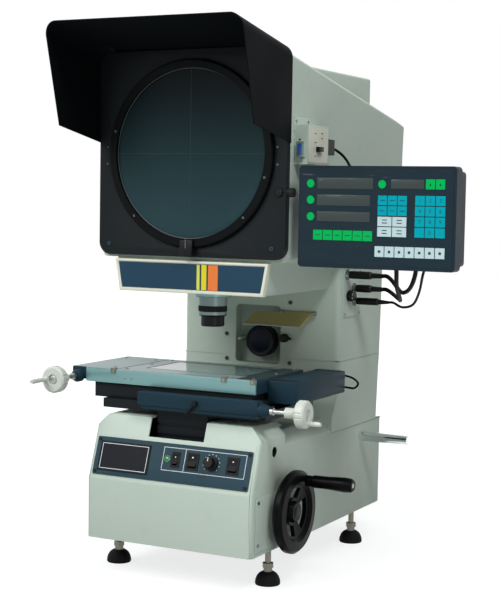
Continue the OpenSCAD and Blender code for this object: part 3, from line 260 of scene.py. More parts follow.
def seeing_rays(tree: Tree) -> Socket:
    """Adds nodes that tell the rays that show the background from those that light.

    Args:
        tree: The nodes to add to.

    Returns:
        1 for camera, glossy and transmission rays, and 0 for the others.
    """
    path = add(tree, "ShaderNodeLightPath").outputs
    seen = compute(tree, "MAXIMUM", path["Is Camera Ray"], path["Is Glossy Ray"])
    return compute(tree, "MAXIMUM", seen, path["Is Transmission Ray"])


class Grain(Enum):
    """How a surface's fine texture runs."""

    EVEN = (1.0, 1.0, 1.0)
    ALONG_X = (0.02, 1.0, 1.0)


@dataclass(frozen=True)
class Finish:
    """A procedural surface with grain, uneven gloss, painted shade towards the floor and faint
    handling marks.

    Attributes:
        name: Name of the material.
        colour: sRGB colour of 0 to 255.
        roughness: Middle roughness.
        metallic: 1 for bare metal.
        bump: Height of the fine texture in millimetres.
        scale: How fine the texture is, per metre.
        grain: How the texture runs.
        mottle: How far the colour varies.
        gloss_spread: How far the roughness varies.
        shade_and_marks: How much darker the low parts get as painted shade, and how strong the
            handling marks are.
        coat: Weight of a clear coat.
        transmission: Share of light let through.
        glow: Strength of its own light.
        specular: Strength of its plain reflection.
    """

    name: str
    colour: Colour
    roughness: float = 0.45
    metallic: float = 0.0
    bump: float = 0.02
    scale: float = 900.0
    grain: Grain = Grain.EVEN
    mottle: float = 0.05
    gloss_spread: float = 0.12
    shade_and_marks: float = 0.0
    coat: float = 0.0
    transmission: float = 0.0
    glow: float = 0.0
    specular: float = 0.5

    def build(self) -> bpy.types.Material:
        """Makes the material, or returns it when it exists.

        Returns:
            The Blender material.
        """
        known = bpy.data.materials.get(self.name)
        if known is not None:
            return known
        material = bpy.data.materials.new(self.name)
        material.use_nodes = True
        shader = material.node_tree.nodes["Principled BSDF"]
        rgb = linear(self.colour)
        material.diffuse_color = (*rgb, 1.0)
        values = {
            "Base Color": (*rgb, 1.0),
            "Roughness": self.roughness,
            "Metallic": self.metallic,
            "Specular IOR Level": self.specular,
            "Coat Weight": self.coat,
            "Coat Roughness": COAT_ROUGHNESS,
            "Transmission Weight": self.transmission,
        }
        if self.glow:
            values |= {"Emission Color": (*rgb, 1.0), "Emission Strength": self.glow}
        for name, value in values.items():
            shader.inputs[name].default_value = value
        self.texture(material.node_tree, shader, rgb)
        return material

    def texture(self, tree: Tree, shader: bpy.types.Node, rgb: Colour) -> None:
        """Adds the grain, the uneven gloss, the painted shade near the floor and the handling
        marks.

        Args:
            tree: The material's nodes.
            shader: The surface shader.
            rgb: The linear base colour.
        """
        link = tree.links.new
        place = place_on(tree)
        mapping = add(tree, "ShaderNodeMapping", {"Scale": self.grain.value})
        link(place, mapping.inputs["Vector"])
        fine = noise(tree, mapping.outputs["Vector"], self.scale, GRAIN_DETAIL)
        blotches = noise(tree, place, BLOTCH_SCALE, BLOTCH_DETAIL)
        relief = {"Strength": GRAIN_STRENGTH, "Distance": self.bump * MM}
        bump = add(tree, "ShaderNodeBump", relief)
        link(fine, bump.inputs["Height"])
        link(bump.outputs["Normal"], shader.inputs["Normal"])
        smoothest = max(0.02, self.roughness - self.gloss_spread)
        dullest = min(1.0, self.roughness + self.gloss_spread)
        gloss = remap(tree, blotches, (0.0, 1.0), (smoothest, dullest))
        link(gloss, shader.inputs["Roughness"])
        dark = tuple(c * (1.0 - self.mottle) for c in rgb)
        light = tuple(min(1.0, c * (1.0 + self.mottle)) for c in rgb)
        colour = mix_colours(tree, blotches, dark, light)
        if self.shade_and_marks:
            colour = self.paint_shade_and_marks(tree, place, colour)
        link(colour, shader.inputs["Base Color"])

    def paint_shade_and_marks(self, tree: Tree, place: Socket, colour: Socket) -> Socket:
        """Paints shade on the parts near the floor and adds faint handling marks.

        Args:
            tree: The material's nodes.
            place: The place on the object.
            colour: The clean colour.

        Returns:
            The colour with the painted shade and the marks.
        """
        # painted shade: the colour darkens towards the floor; the noise peaks are handling marks
        low = remap(tree, height_on(tree, place), LOW_SHADE_REACH_M, (self.shade_and_marks, 0.0))
        marks = noise(tree, place, MARK_SCALE, MARK_DETAIL)
        peaks = remap(tree, marks, MARK_PEAKS, (0.0, self.shade_and_marks * MARK_SHARE))
        return mix_colours(tree, compute(tree, "ADD", low, peaks), colour, SHADE_AND_MARK_COLOUR)


@dataclass(frozen=True)
class ScreenFinish(Finish):
    """Ground glass with painted hood shade: dark at its top, and painted paler lower down as if it
    catches the room's light.

    Attributes:
        lower: sRGB colour of the lower half, painted paler as if lit.
    """

    lower: Colour = (44, 68, 73)

    def texture(self, tree: Tree, shader: bpy.types.Node, rgb: Colour) -> None:
        """Paints the hood's shade: blends the dark top into the paler lower half.

        Args:
            tree: The material's nodes.
            shader: The surface shader.
            rgb: The linear base colour.
        """
        super().texture(tree, shader, rgb)
        # painted shade: the colour goes from dark at the top to paler lower down, by height on the
        # glass
        height = height_on(tree, place_on(tree))
        painted_hood_shade = remap(tree, height, SHADE_REACH_M, (0.0, 1.0), smooth=True)
        mixed = mix_colours(tree, painted_hood_shade, rgb, linear(self.lower))
        tree.links.new(mixed, shader.inputs["Base Color"])


@dataclass(frozen=True)
class FloorFinish(Finish):
    """A pale floor that looks white to the camera without lighting the object.

    Attributes:
        far_glow: Strength of the camera's white far from the object.
    """

    far_glow: float = 1.08

    def texture(self, tree: Tree, shader: bpy.types.Node, rgb: Colour) -> None:
        """Adds the camera's share of white, which grows with the distance.

        Args:
            tree: The material's nodes.
            shader: The surface shader.
            rgb: The linear base colour; not used.
        """
        shader.inputs["Emission Color"].default_value = FLOOR_WHITE
        away = add(tree, "ShaderNodeVectorMath")
        away.operation = "LENGTH"
        tree.links.new(place_on(tree), away.inputs[0])
        ends = (self.glow, self.far_glow)
        rise = remap(tree, away.outputs["Value"], FLOOR_REACH_M, ends, smooth=True)
        share = compute(tree, "MULTIPLY", rise, seeing_rays(tree))
        tree.links.new(share, shader.inputs["Emission Strength"])


@dataclass(frozen=True)
class FilmFinish(Finish):
    """A smooth face under a clear, creased protective film.

    Attributes:
        crease: Height of the creases in millimetres.
    """

    crease: float = 10.0

    def texture(self, tree: Tree, shader: bpy.types.Node, rgb: Colour) -> None:
        """Adds the creases to the clear coat only.

        Args:
            tree: The material's nodes.
            shader: The surface shader.
            rgb: The linear base colour.
        """
        super().texture(tree, shader, rgb)
        shader.inputs["Coat Roughness"].default_value = FILM_ROUGHNESS
        stretch = {"Rotation": CREASE_TURN, "Scale": CREASE_STRETCH}
        mapping = add(tree, "ShaderNodeMapping", stretch)
        tree.links.new(place_on(tree), mapping.inputs["Vector"])
        creases = noise(tree, mapping.outputs["Vector"], CREASE_SCALE, GRAIN_DETAIL)
        relief = {"Strength": CREASE_STRENGTH, "Distance": self.crease * MM}
        bump = add(tree, "ShaderNodeBump", relief)
        tree.links.new(creases, bump.inputs["Height"])
        tree.links.new(bump.outputs["Normal"], shader.inputs["Coat Normal"])


# The body paint has painted shade towards the floor and faint handling marks.
BODY = Finish(
    "body paint", (194, 209, 197), 0.5, bump=0.03, scale=700.0, mottle=0.02, shade_and_marks=0.07,
    specular=0.15
)
# The body paint darkened as painted shade for the lamp recess.
SHADED_BODY = Finish(
    "body paint with recess shade", (166, 180, 169), 0.5, bump=0.03, scale=700.0, mottle=0.03, specular=0.2
)
BLACK = Finish(
    "black crackle paint", (19, 24, 26), 0.55, bump=0.09, scale=1300.0, mottle=0.1, specular=0.1
)
# The ring's own black, darkened further as painted shade from the hood.
SHADED_RING = Finish("black ring with painted shade", (9, 12, 13), 0.5, mottle=0.08, specular=0.05)
HOOD = Finish("hood paint", (10, 13, 15), 0.6, bump=0.06, scale=1200.0, mottle=0.1, specular=0.03)
SLATE = Finish("slate panel", (48, 70, 80), specular=0.08)
LABEL = Finish("slate label", (38, 66, 86), 0.42, bump=0.01, specular=0.1)
CREAM = Finish("cream paint", (222, 224, 206), mottle=0.03, specular=0.25)
BADGE = Finish("badge black", (20, 23, 28), 0.42, bump=0.01, specular=0.1)
PLASTIC = Finish("black plastic", (14, 15, 16), scale=1500.0, mottle=0.08, specular=0.14)
GLOSS = Finish("gloss black", (6, 7, 8), 0.28, bump=0.004, gloss_spread=0.06, specular=0.05)
CRANK = Finish(
    "off-white plastic", (206, 212, 203), 0.35, bump=0.01, mottle=0.04, gloss_spread=0.08,
    specular=0.25
)
RUBBER = Finish(
    "foot rubber", (15, 15, 16), 0.7, bump=0.05, scale=1500.0, mottle=0.12, gloss_spread=0.1,
    specular=0.12
)
CABLE = Finish("cable rubber", (9, 9, 10), 0.5, scale=1200.0, mottle=0.1, specular=0.06)
BRASS = Finish("plated steel", (112, 110, 102), 0.32, 1.0, bump=0.01, mottle=0.06, gloss_spread=0.1)
STEEL = Finish("turned steel", (150, 153, 152), 0.32, 1.0, bump=0.008, scale=1600.0)
CHROME = Finish("chrome", (74, 80, 79), 0.16, 1.0, bump=0.002, mottle=0.03, gloss_spread=0.06)
SLEEVE = Finish(
    "objective sleeve", (126, 144, 142), 0.36, 0.3, bump=0.006, mottle=0.1, gloss_spread=0.08,
    specular=0.2
)
FLANGE = Finish(
    "tinted flange", (138, 182, 176), 0.26, 0.25, bump=0.006, mottle=0.14, gloss_spread=0.08
)
DARK_STAGE = Finish("dark stage", (22, 27, 30), scale=1100.0, mottle=0.08, specular=0.1)
SCALE_BOX = Finish("scale box paint", (31, 53, 64), bump=0.03, mottle=0.06, specular=0.06)
# The table top's own colour, raised paler as a painted reflection of a bright wall on the glossy
# top.
TABLE_TOP_AND_REFLECTION = Finish(
    "table top", (134, 154, 154), 0.32, 0.1, bump=0.012, scale=1800.0, grain=Grain.ALONG_X,
    mottle=0.06, specular=0.1
)
TABLE_END = Finish(
    "table end", (54, 68, 68), 0.34, 0.1, bump=0.012, scale=1800.0, grain=Grain.ALONG_X,
    mottle=0.06, specular=0.1
)
STRIP = Finish(
    "anodised strip", (117, 156, 156), 0.34, 0.5, bump=0.01, scale=1800.0, grain=Grain.ALONG_X,
    mottle=0.04, specular=0.3
)
GLASS = Finish(
    "stage glass", (150, 178, 178), 0.06, bump=0.001, mottle=0.02, gloss_spread=0.03,
    transmission=0.5
)
GOLD = Finish(
    "gold half mirror", (196, 172, 112), 0.34, 0.55, bump=0.004, mottle=0.08, gloss_spread=0.08
)
LENS = Finish("coated lens", (27, 34, 48), 0.3, bump=0.001, gloss_spread=0.03, specular=0.08)
OPTIC = Finish(
    "black anodised", (19, 20, 22), 0.38, 0.1, bump=0.01, scale=1500.0, mottle=0.06, specular=0.12
)
INSIDE = Finish("inner grey", (92, 96, 97), 0.6, bump=0.04, mottle=0.1, specular=0.2)
COPPER = Finish(
    "winding", (120, 72, 40), 0.4, 0.8, bump=0.1, scale=500.0, grain=Grain.ALONG_X, mottle=0.15
)
MIRROR = Finish(
    "front mirror", (210, 214, 216), 0.04, 1.0, bump=0.0005, mottle=0.01, gloss_spread=0.02
)
READOUT = FilmFinish(
    "readout case", (24, 38, 48), bump=0.03, scale=1400.0, mottle=0.06, coat=0.04, specular=0.1,
    crease=3.0
)
FACE = FilmFinish("readout face", (17, 38, 48), 0.4, bump=0.01, coat=0.22, specular=0.06)
WINDOW = FilmFinish(
    "display window", (60, 68, 68), 0.35, bump=0.004, mottle=0.08, coat=0.22, specular=0.06
)
GREEN = FilmFinish(
    "green key", (0, 180, 86), 0.42, bump=0.01, mottle=0.06, coat=0.03, specular=0.05
)
CYAN = FilmFinish("cyan key", (0, 160, 176), 0.42, bump=0.01, mottle=0.06, coat=0.03, specular=0.05)
WHITE = FilmFinish(
    "white key", (188, 211, 214), 0.42, bump=0.01, mottle=0.04, coat=0.03, specular=0.1
)
INK = Finish("white ink", (226, 230, 232), 0.5, bump=0.004, mottle=0.03)
PALE = Finish("pale stripe", (212, 214, 84), 0.4, bump=0.01, mottle=0.03)
YELLOW = Finish("yellow stripe", (218, 206, 18), 0.4, bump=0.01, mottle=0.04)
ORANGE = Finish("orange stripe", (226, 120, 44), 0.4, bump=0.01, mottle=0.04)
BLUE = Finish("blue connector", (26, 78, 150), 0.35, bump=0.01)
PILOT = Finish("pilot green", (8, 112, 56), 0.2, bump=0.002, mottle=0.04, glow=0.06, coat=0.6)
# The ground glass carries a painted hood shade at its top and a paler lit-looking lower half.
SCREEN = ScreenFinish(
    "ground glass", (7, 16, 17), 0.35, bump=0.006, scale=2600.0, mottle=0.02, gloss_spread=0.012,
    specular=0.05
)
LINE = Finish("screen line", (46, 68, 72), 0.5, bump=0.001, mottle=0.02, specular=0.2)
# A dark colour painted as the shadow in the gap along the base ledge.
SEAM_SHADOW = Finish("seam shadow", (58, 64, 60), 0.7, bump=0.01, mottle=0.1)


class Maker:
    """Builds named meshes in millimetres and hands them to a CAD body."""

    @staticmethod
    def finish(
        name: str, bm: BMesh, look: Finish, body: str | None, smooth: float = 32.0
    ) -> bpy.types.Object:
        """Turns a bmesh in millimetres into an object in metres.

        Args:
            name: Name of the object.
            bm: The mesh, in millimetres; it is freed.
            look: Its finish.
            body: The CAD body it rides, or None where the caller sees to that.
            smooth: Faces that meet at less than this angle, in degrees, shade smoothly.

        Returns:
            The object.
        """
        name = name.replace(" ", "_")
        bmesh.ops.recalc_face_normals(bm, faces=bm.faces)
        limit = math.radians(smooth)
        for face in bm.faces:
            face.smooth = True
        for edge in bm.edges:
            edge.smooth = len(edge.link_faces) == 2 and edge.calc_face_angle(math.pi) < limit
        bmesh.ops.scale(bm, vec=(MM, MM, MM), verts=bm.verts)
        mesh = bpy.data.meshes.new(name)
        bm.to_mesh(mesh)
        bm.free()
        mesh.materials.append(look.build())
        obj = bpy.data.objects.new(name, mesh)
        bpy.context.scene.collection.objects.link(obj)
        if body is not None:
            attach(obj, body)
        return obj

    @staticmethod
    def box(
        bm: BMesh, low: Point, high: Point, round_by: float = 0.0, turn: Matrix | None = None
    ) -> None:
        """Adds a box, with rounded edges if asked.

        Args:
            bm: The mesh to add to.
            low: Lowest corner.
            high: Highest corner.
            round_by: Radius of its edges.
            turn: Where to put the box afterwards.
        """
        made = bmesh.ops.create_cube(bm, size=1.0)["verts"]
        bmesh.ops.scale(bm, vec=Vector(high) - Vector(low), verts=made)
        bmesh.ops.translate(bm, vec=(Vector(high) + Vector(low)) / 2.0, verts=made)
        if round_by:
            edges = list({e for v in made for e in v.link_edges})
            made = bmesh.ops.bevel(
                bm, geom=edges, offset=round_by, segments=2, profile=0.5, affect="EDGES",
                clamp_overlap=True,
            )["verts"]
        if turn is not None:
            bmesh.ops.transform(bm, matrix=turn, verts=list(made))

    @staticmethod
    def skin(bm: BMesh, rings: Sequence[Sequence[bmesh.types.BMVert]]) -> None:
        """Joins rings of points with faces, where a ring of one point is a tip.

        Args:
            bm: The mesh to add to.
            rings: The rings, in order.
        """
        for one, two in zip(rings, rings[1:]):
            count = max(len(one), len(two))
            for k in range(count):
                n = (k + 1) % count
                if len(one) == 1:
                    bm.faces.new((one[0], two[k], two[n]))
                elif len(two) == 1:
                    bm.faces.new((one[k], two[0], one[n]))
                else:
                    bm.faces.new((one[k], two[k], two[n], one[n]))

    @classmethod
    def turned(cls, bm: BMesh, profile: Profile, at: Point, axis: Point, steps: int) -> None:
        """Adds a turned form.

        Args:
            bm: The mesh to add to.
            profile: Points of radius and distance along the axis.
            at: Where the distance is zero.
            axis: Direction of the axis.
            steps: How many faces go round.
        """
        turn = Matrix.Translation(at) @ Vector(axis).to_track_quat("Z", "Y").to_matrix().to_4x4()
        rings = []
        for radius, along in profile:
            ring = []
            for k in range(steps if radius else 1):
                angle = 2.0 * math.pi * k / steps
                spot = Vector((radius * math.cos(angle), radius * math.sin(angle), along))
                ring.append(bm.verts.new(turn @ spot))
            rings.append(ring)
        cls.skin(bm, rings)

    @classmethod
    def boxes(
        cls,
        name: str,
        look: Finish,
        body: str,
        *spans: tuple[Point, Point],
        round_by: float = 0.0,
        turn: Matrix | None = None,
    ) -> None:
        """Makes a piece of boxes.

        Args:
            name: Name of the object.
            look: Its finish.
            body: The CAD body it rides.
            spans: Lowest and highest corner of each box.
            round_by: Radius of the edges.
            turn: Where to put the boxes afterwards.
        """
        bm = bmesh.new()
        for low, high in spans:
            cls.box(bm, low, high, round_by, turn)
        cls.finish(name, bm, look, body)

    @classmethod
    def lathe(
        cls,
        name: str,
        look: Finish,
        body: str,
        steps: int,
        *forms: tuple[Profile, Point, Point],
    ) -> None:
        """Makes a piece of turned forms.

        Args:
            name: Name of the object.
            look: Its finish.
            body: The CAD body it rides.
            steps: How many faces go round.
            forms: Profile, place and axis of each form.
        """
        bm = bmesh.new()
        for profile, at, axis in forms:
            cls.turned(bm, profile, at, axis, steps)
        cls.finish(name, bm, look, body)


class Stamp:
    """A Geometry Nodes group that puts one small form on every point of a list."""

    def __init__(self, name: str, round_form: bool) -> None:
        """Builds the node group.

        Args:
            name: Name of the group.
            round_form: True for discs, False for blocks.
        """
        group = bpy.data.node_groups.new(name, "GeometryNodeTree")
        inputs = {}
        for label, kind in (
            ("Geometry", "Geometry"),
            ("Size", "Vector"),
            ("Turn", "Rotation"),
            ("Look", "Material"),
        ):
            socket = group.interface.new_socket(
                label, in_out="INPUT", socket_type=f"NodeSocket{kind}"
            )
            inputs[label] = socket.identifier
        group.interface.new_socket(
            "Geometry", in_out="OUTPUT", socket_type="NodeSocketGeometry"
        )
        self.size_id, self.turn_id, self.look_id = (inputs[k] for k in ("Size", "Turn", "Look"))
        start = group.nodes.new("NodeGroupInput")
        end = group.nodes.new("NodeGroupOutput")
        if round_form:
            form = add(
                group, "GeometryNodeMeshCylinder", {"Vertices": 20, "Radius": 0.5, "Depth": 1.0}
            )
        else:
            form = add(group, "GeometryNodeMeshCube")
        copy = add(group, "GeometryNodeInstanceOnPoints")
        real = add(group, "GeometryNodeRealizeInstances")
        coat = add(group, "GeometryNodeSetMaterial")
        for source, output, target, socket in (
            (start, "Geometry", copy, "Points"),
            (form, "Mesh", copy, "Instance"),
            (start, "Size", copy, "Scale"),
            (start, "Turn", copy, "Rotation"),
            (copy, "Instances", real, "Geometry"),
            (real, "Geometry", coat, "Geometry"),
            (start, "Look", coat, "Material"),
            (coat, "Geometry", end, "Geometry"),
        ):
            group.links.new(source.outputs[output], target.inputs[socket])
        self.group = group

    def put(
        self,
        name: str,
        points: Iterable[Point],
        size: Point,
        turn: Point,
        look: Finish,
        body: str,
    ) -> None:
        """Stamps the form and makes it a plain mesh.

        Args:
            name: Name of the object.
            points: Where the forms go.
            size: Width, depth and height of one form.
            turn: Its turn about X, Y and Z, in degrees.
            look: Its finish.
            body: The CAD body it rides.
        """
        name = name.replace(" ", "_")
        mesh = bpy.data.meshes.new(name)
        mesh.from_pydata([Vector(p) * MM for p in points], [], [])
        obj = bpy.data.objects.new(name, mesh)
        bpy.context.scene.collection.objects.link(obj)
        modifier = obj.modifiers.new("stamp", "NODES")
        modifier.node_group = self.group
        modifier[self.size_id] = [s * MM for s in size]
        modifier[self.turn_id] = [math.radians(t) for t in turn]
        modifier[self.look_id] = look.build()
        obj.update_tag()
        obj.data = evaluated_mesh(obj)
        obj.modifiers.clear()
        obj.data.name = name
        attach(obj, body)


def evaluated_mesh(obj: bpy.types.Object) -> bpy.types.Mesh:
    """Makes a plain mesh of what an object looks like.

    Args:
        obj: The object.

    Returns:
        The new mesh.
    """
    bpy.context.view_layer.update()
    graph = bpy.context.evaluated_depsgraph_get()
    return bpy.data.meshes.new_from_object(obj.evaluated_get(graph))


DISC = Stamp("disc stamp", True)
BLOCK = Stamp("block stamp", False)
FACING_FRONT = (90.0, 0.0, 0.0)
FACING_RIGHT = (0.0, 90.0, 0.0)
FACING_UP = (0.0, 0.0, 0.0)
FACING_SLOPE = (90.0 - math.degrees(SLOPE_TILT), 0.0, 0.0)
HEAD_T = 2.4
SOCKET_T = 2.6
SOCKET_SHARE = 0.4


def screws(
    name: str,
    points: Sequence[Point],
    turn: Point,
    width: float,
    body: str,
    look: Finish = STEEL,
) -> None:
    """Puts socket screws at a list of points.

    Args:
        name: Name of the group.
        points: Middle of each head.
        turn: Which way they face.
        width: Diameter of a head.
        body: The CAD body they ride.
        look: Finish of the heads.
    """
    inner = width * SOCKET_SHARE
    DISC.put(f"{name} heads", points, (width, width, HEAD_T), turn, look, body)
    DISC.put(f"{name} sockets", points, (inner, inner, SOCKET_T), turn, BADGE, body)


def paint(look: Finish, *nodes: str) -> None:
    """Gives CAD nodes a finish as they are, and reports each.

    Args:
        look: The finish.
        nodes: Names of the nodes.
    """
    for node in nodes:
        data = frame["nodes"][node].data
        data.materials.clear()
        data.materials.append(look.build())
        LOG.info("%s: %s", node, look.name)


SHARP_ANGLE = math.radians(18.0)
FLAT_ANGLE = math.radians(0.6)
MERGE_GAP = 0.004


@dataclass
class Rounding:
    """One pass of edge rounding on a copy of a CAD node.

    Attributes:
        radius: Radius of the rounding.
        keep: Says which edges it rounds, given the edge's two ends.
        shortest: Edges under this length stay sharp.
        segments: Faces across the rounding.
    """

    radius: float
    keep: Callable[[Vector, Vector], bool] = lambda a, b: True
    shortest: float = 12.0
    segments: int = 3

    def takes(self, edge: bmesh.types.BMEdge) -> bool:
        """Says whether it rounds an edge.

        Args:
            edge: The edge.

        Returns:
            True for a long, sharp, outer edge that is to be rounded.
        """
        return (
            len(edge.link_faces) == 2
            and edge.is_convex
            and edge.calc_face_angle(0.0) > SHARP_ANGLE
            and edge.calc_length() > self.shortest
            and self.keep(edge.verts[0].co, edge.verts[1].co)
        )


def soften(node: str, look: Finish, *passes: Rounding) -> None:
    """Replaces a CAD node by a copy with rounded outer edges.

    Args:
        node: Name of the CAD node.
        look: Its finish.
        passes: The rounding passes, in order.
    """
    source = frame["nodes"][node]
    bm = bmesh.new()
    bm.from_mesh(source.data)
    bmesh.ops.scale(bm, vec=(1 / MM, 1 / MM, 1 / MM), verts=bm.verts)
    bmesh.ops.remove_doubles(bm, verts=bm.verts, dist=MERGE_GAP)
    bmesh.ops.dissolve_limit(
        bm, angle_limit=FLAT_ANGLE, verts=bm.verts, edges=bm.edges, use_dissolve_boundaries=False
    )
    for step in passes:
        chosen = [edge for edge in bm.edges if step.takes(edge)]
        if chosen:
            bmesh.ops.bevel(
                bm, geom=chosen, offset=step.radius, segments=step.segments, profile=0.5,
                affect="EDGES", clamp_overlap=False, miter_outer="ARC",
            )
    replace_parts(Maker.finish(f"{node} form", bm, look, source["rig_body"]), node)


def upright(a: Vector, b: Vector) -> bool:
    """Says whether an edge stands upright.

    Args:
        a: One end.
        b: The other end.

    Returns:
        True for an edge along Z.
    """
    return abs(a.z - b.z) > 0.9 * (a - b).length


@dataclass
class Base:
    """Base housing with its control panel, feet and drives.

    Attributes:
        switch_v: Height of the switches up the slope.
        dimmer_x: Place of the dimmer knob.
        tick_r: Radius of the ring of ticks round it.
        tick_reach: How far the ring goes to either side, in degrees.
        ticks: How many ticks it has.
        rockers: Name, place and width of each rocker switch.
        rest_tilt: How far a rocker leans at rest, in degrees.
        frame_low: Lower edge of the printed frame on the slope.
        frame_high: Its upper edge.
        side_x: The housing's upright edges lie outside this.
        ledge_z: Height of the painted shadow line along its ledge.
        socket_z: Height of the rod sockets near its front.
    """

    switch_v: float = 49.0
    dimmer_x: float = 82.0
    tick_r: float = 16.5
    tick_reach: float = 130.0
    ticks: int = 11
    rockers: tuple[tuple[str, float, float], ...] = (
        ("power", 9.0, 9.0),
        ("contour", 44.0, 16.0),
        ("surface", 125.0, 16.0),
    )
    rest_tilt: float = -7.0
    frame_low: float = 28.0
    frame_high: float = 70.5
    side_x: float = 168.0
    ledge_z: float = 242.0
    socket_z: float = 242.0

    def build(self) -> None:
        """Builds the housing."""
        soften(
            "base_shell",
            BODY,
            Rounding(7.0, self.outer_corner, 50.0),
            Rounding(2.2, lambda a, b: max(a.z, b.z) > 170.0, 30.0, 2),
        )
        soften("side_cover", BODY, Rounding(1.2, shortest=40.0, segments=2))
        soften("control_panel", SLATE, Rounding(0.9, shortest=40.0, segments=2))
        paint(INSIDE, "base_plate", "lift_frame")
        paint(RUBBER, "foot_pads")
        paint(BRASS, "foot_screws")
        paint(STEEL, "wheel_bush", "lift_screw")
        paint(GLOSS, "handwheel", "handwheel_grip")
        paint(CHROME, "lifting_rods")
        paint(OPTIC, "contour_lamp")
        paint(COPPER, "transformer")
        paint(PLASTIC, "mains_inlet", "switch_bezels", "dimmer_knob")
        paint(PLASTIC, *(f"{name}_rocker" for name, _, _ in self.rockers))
        paint(PILOT, "pilot_lamp")
        paint(DARK_STAGE, "lift_carriage")
        paint(BADGE, "badge_plate")
        self.dress_panel()
        self.dress_dimmer()
        self.dress_rockers()
        self.dress_sides()

    def outer_corner(self, a: Vector, b: Vector) -> bool:
        """Says whether an edge is one of the housing's upright corners."""
        return upright(a, b) and min(a.z, b.z) > 60.0 and abs(a.x) > self.side_x

    @staticmethod
    def outline(left: float, low: float, right: float, high: float, wide: float) -> list[Bar]:
        """Gives the four bars of a printed frame.

        Args:
            left: Left edge across the slope.
            low: Lower edge up the slope.
            right: Right edge.
            high: Upper edge.
            wide: Width of the line.

        Returns:
            Left, low, right and high of each bar.
        """
        return [
            (left, low, right, low + wide),
            (left, high - wide, right, high),
            (left, low, left + wide, high),
            (right - wide, low, right, high),
        ]

    @staticmethod
    def print_bars(name: str, bars: Sequence[Bar], out: float) -> None:
        """Draws thin printed bars on the sloping panel.

        Args:
            name: Name of the object.
            bars: Left, low, right and high of each bar across and up the slope.
            out: Height of the printed face above the housing.
        """
        spans = [((b[0], -out - 0.15, b[1]), (b[2], -out + 0.3, b[3])) for b in bars]
        Maker.boxes(name, INK, "frame", *spans, turn=SLOPE)

    @staticmethod
    def on_slope(points: Sequence[Point]) -> list[Point]:
        """Puts points given across, out of and up the slope in their place."""
        return [tuple(SLOPE @ Vector(p)) for p in points]

    def dress_panel(self) -> None:
        """Adds the printed frames and the screws of the control panel."""
        bars = self.outline(-18.0, self.frame_low, 150.0, self.frame_high, 0.9)
        bars.append((27.0, self.frame_low, 27.9, self.frame_high))
        self.print_bars("panel print", bars, PANEL_T)
        badge = self.outline(-147.0, 19.0, -49.0, 66.0, 1.0)
        self.print_bars("badge print", badge, PANEL_T + 1.5)
        spots = [(x, -PANEL_T - 0.6, up) for x in (-155.0, 155.0) for up in (13.0, 72.0)]
        screws("panel screw", self.on_slope(spots), FACING_SLOPE, 6.0, "frame", PLASTIC)

    def dress_dimmer(self) -> None:
        """Adds the ring of ticks round the dimmer knob and the mark on the knob."""
        x, up = self.dimmer_x, self.switch_v
        ticks = []
        for k in range(self.ticks):
            angle = math.radians(self.tick_reach * (2.0 * k / (self.ticks - 1) - 1.0))
            across, along = self.tick_r * math.sin(angle), self.tick_r * math.cos(angle)
            ticks.append((x + across, -PANEL_T, up + along))
        size = (1.5, 1.5, 0.5)
        DISC.put("dimmer ticks", self.on_slope(ticks), size, FACING_SLOPE, INK, "frame")
        mark = ((x - 0.7, -18.8, up + 2.0), (x + 0.7, -18.2, up + 8.5))
        Maker.boxes("dimmer mark", INK, "dimmer", mark, turn=SLOPE)

    def dress_rockers(self) -> None:
        """Adds a pip to each rocker switch."""
        profile = [(0.0, 0.0), (1.4, 0.0), (1.4, 0.5), (0.0, 0.5)]
        tilt = Matrix.Rotation(math.radians(self.rest_tilt), 4, "X")
        for name, x, wide in self.rockers:
            pip = bmesh.new()
            Maker.turned(pip, profile, ORIGIN, TO_FRONT, 20)
            pivot = SLOPE @ Matrix.Translation((x, 3.0, self.switch_v))
            out = Matrix.Translation((0.0, -7.6, wide * 0.38))
            bmesh.ops.transform(pip, matrix=pivot @ tilt @ out, verts=pip.verts)
            look = PILOT if name == "power" else INK
            Maker.finish(f"{name} pip", pip, look, f"{name}_switch")

    def dress_sides(self) -> None:
        """Adds the cover screws, the painted shadow lines along the ledges, the rod sockets with
        dark linings of painted shade and the wheel's cap.
        """
        places = [(173.2, y, z) for y in (-260.0, -58.0) for z in (86.0, 162.0)]
        screws("side cover screw", places, FACING_RIGHT, 6.5, "frame")
        # painted shadow: dark lines along the gap under the ledge
        ledge_shadows = [
            ((x - 0.3, 52.0, self.ledge_z), (x + 0.3, 303.0, self.ledge_z + 1.4))
            for x in (-170.7, 170.7)
        ]
        Maker.boxes("ledge line", SEAM_SHADOW, "frame", *ledge_shadows)
        # painted shade: a dark lining and end disc inside each rod socket hole
        shade_lining = [(9.4, 169.6), (9.4, 116.0), (0.0, 116.0)]
        shade_linings = [(shade_lining, (0.0, -195.0, self.socket_z), (side, 0.0, 0.0)) for side in (-1.0, 1.0)]
        Maker.lathe("rod socket liner", BADGE, "frame", 40, *shade_linings)
        cap = [(0.0, 205.6), (8.0, 205.2), (10.5, 204.0), (10.5, 203.0)]
        Maker.lathe("wheel cap", PLASTIC, "focus_wheel", 48, (cap, (0.0, -166.0, 132.0), X_AXIS))
        pin = [(4.8, 0.0), (4.8, 5.2), (4.0, 6.0), (0.0, 6.2)]
        Maker.lathe("grip pin end", STEEL, "focus_wheel", 32, (pin, (291.5, -133.0, 184.0), X_AXIS))


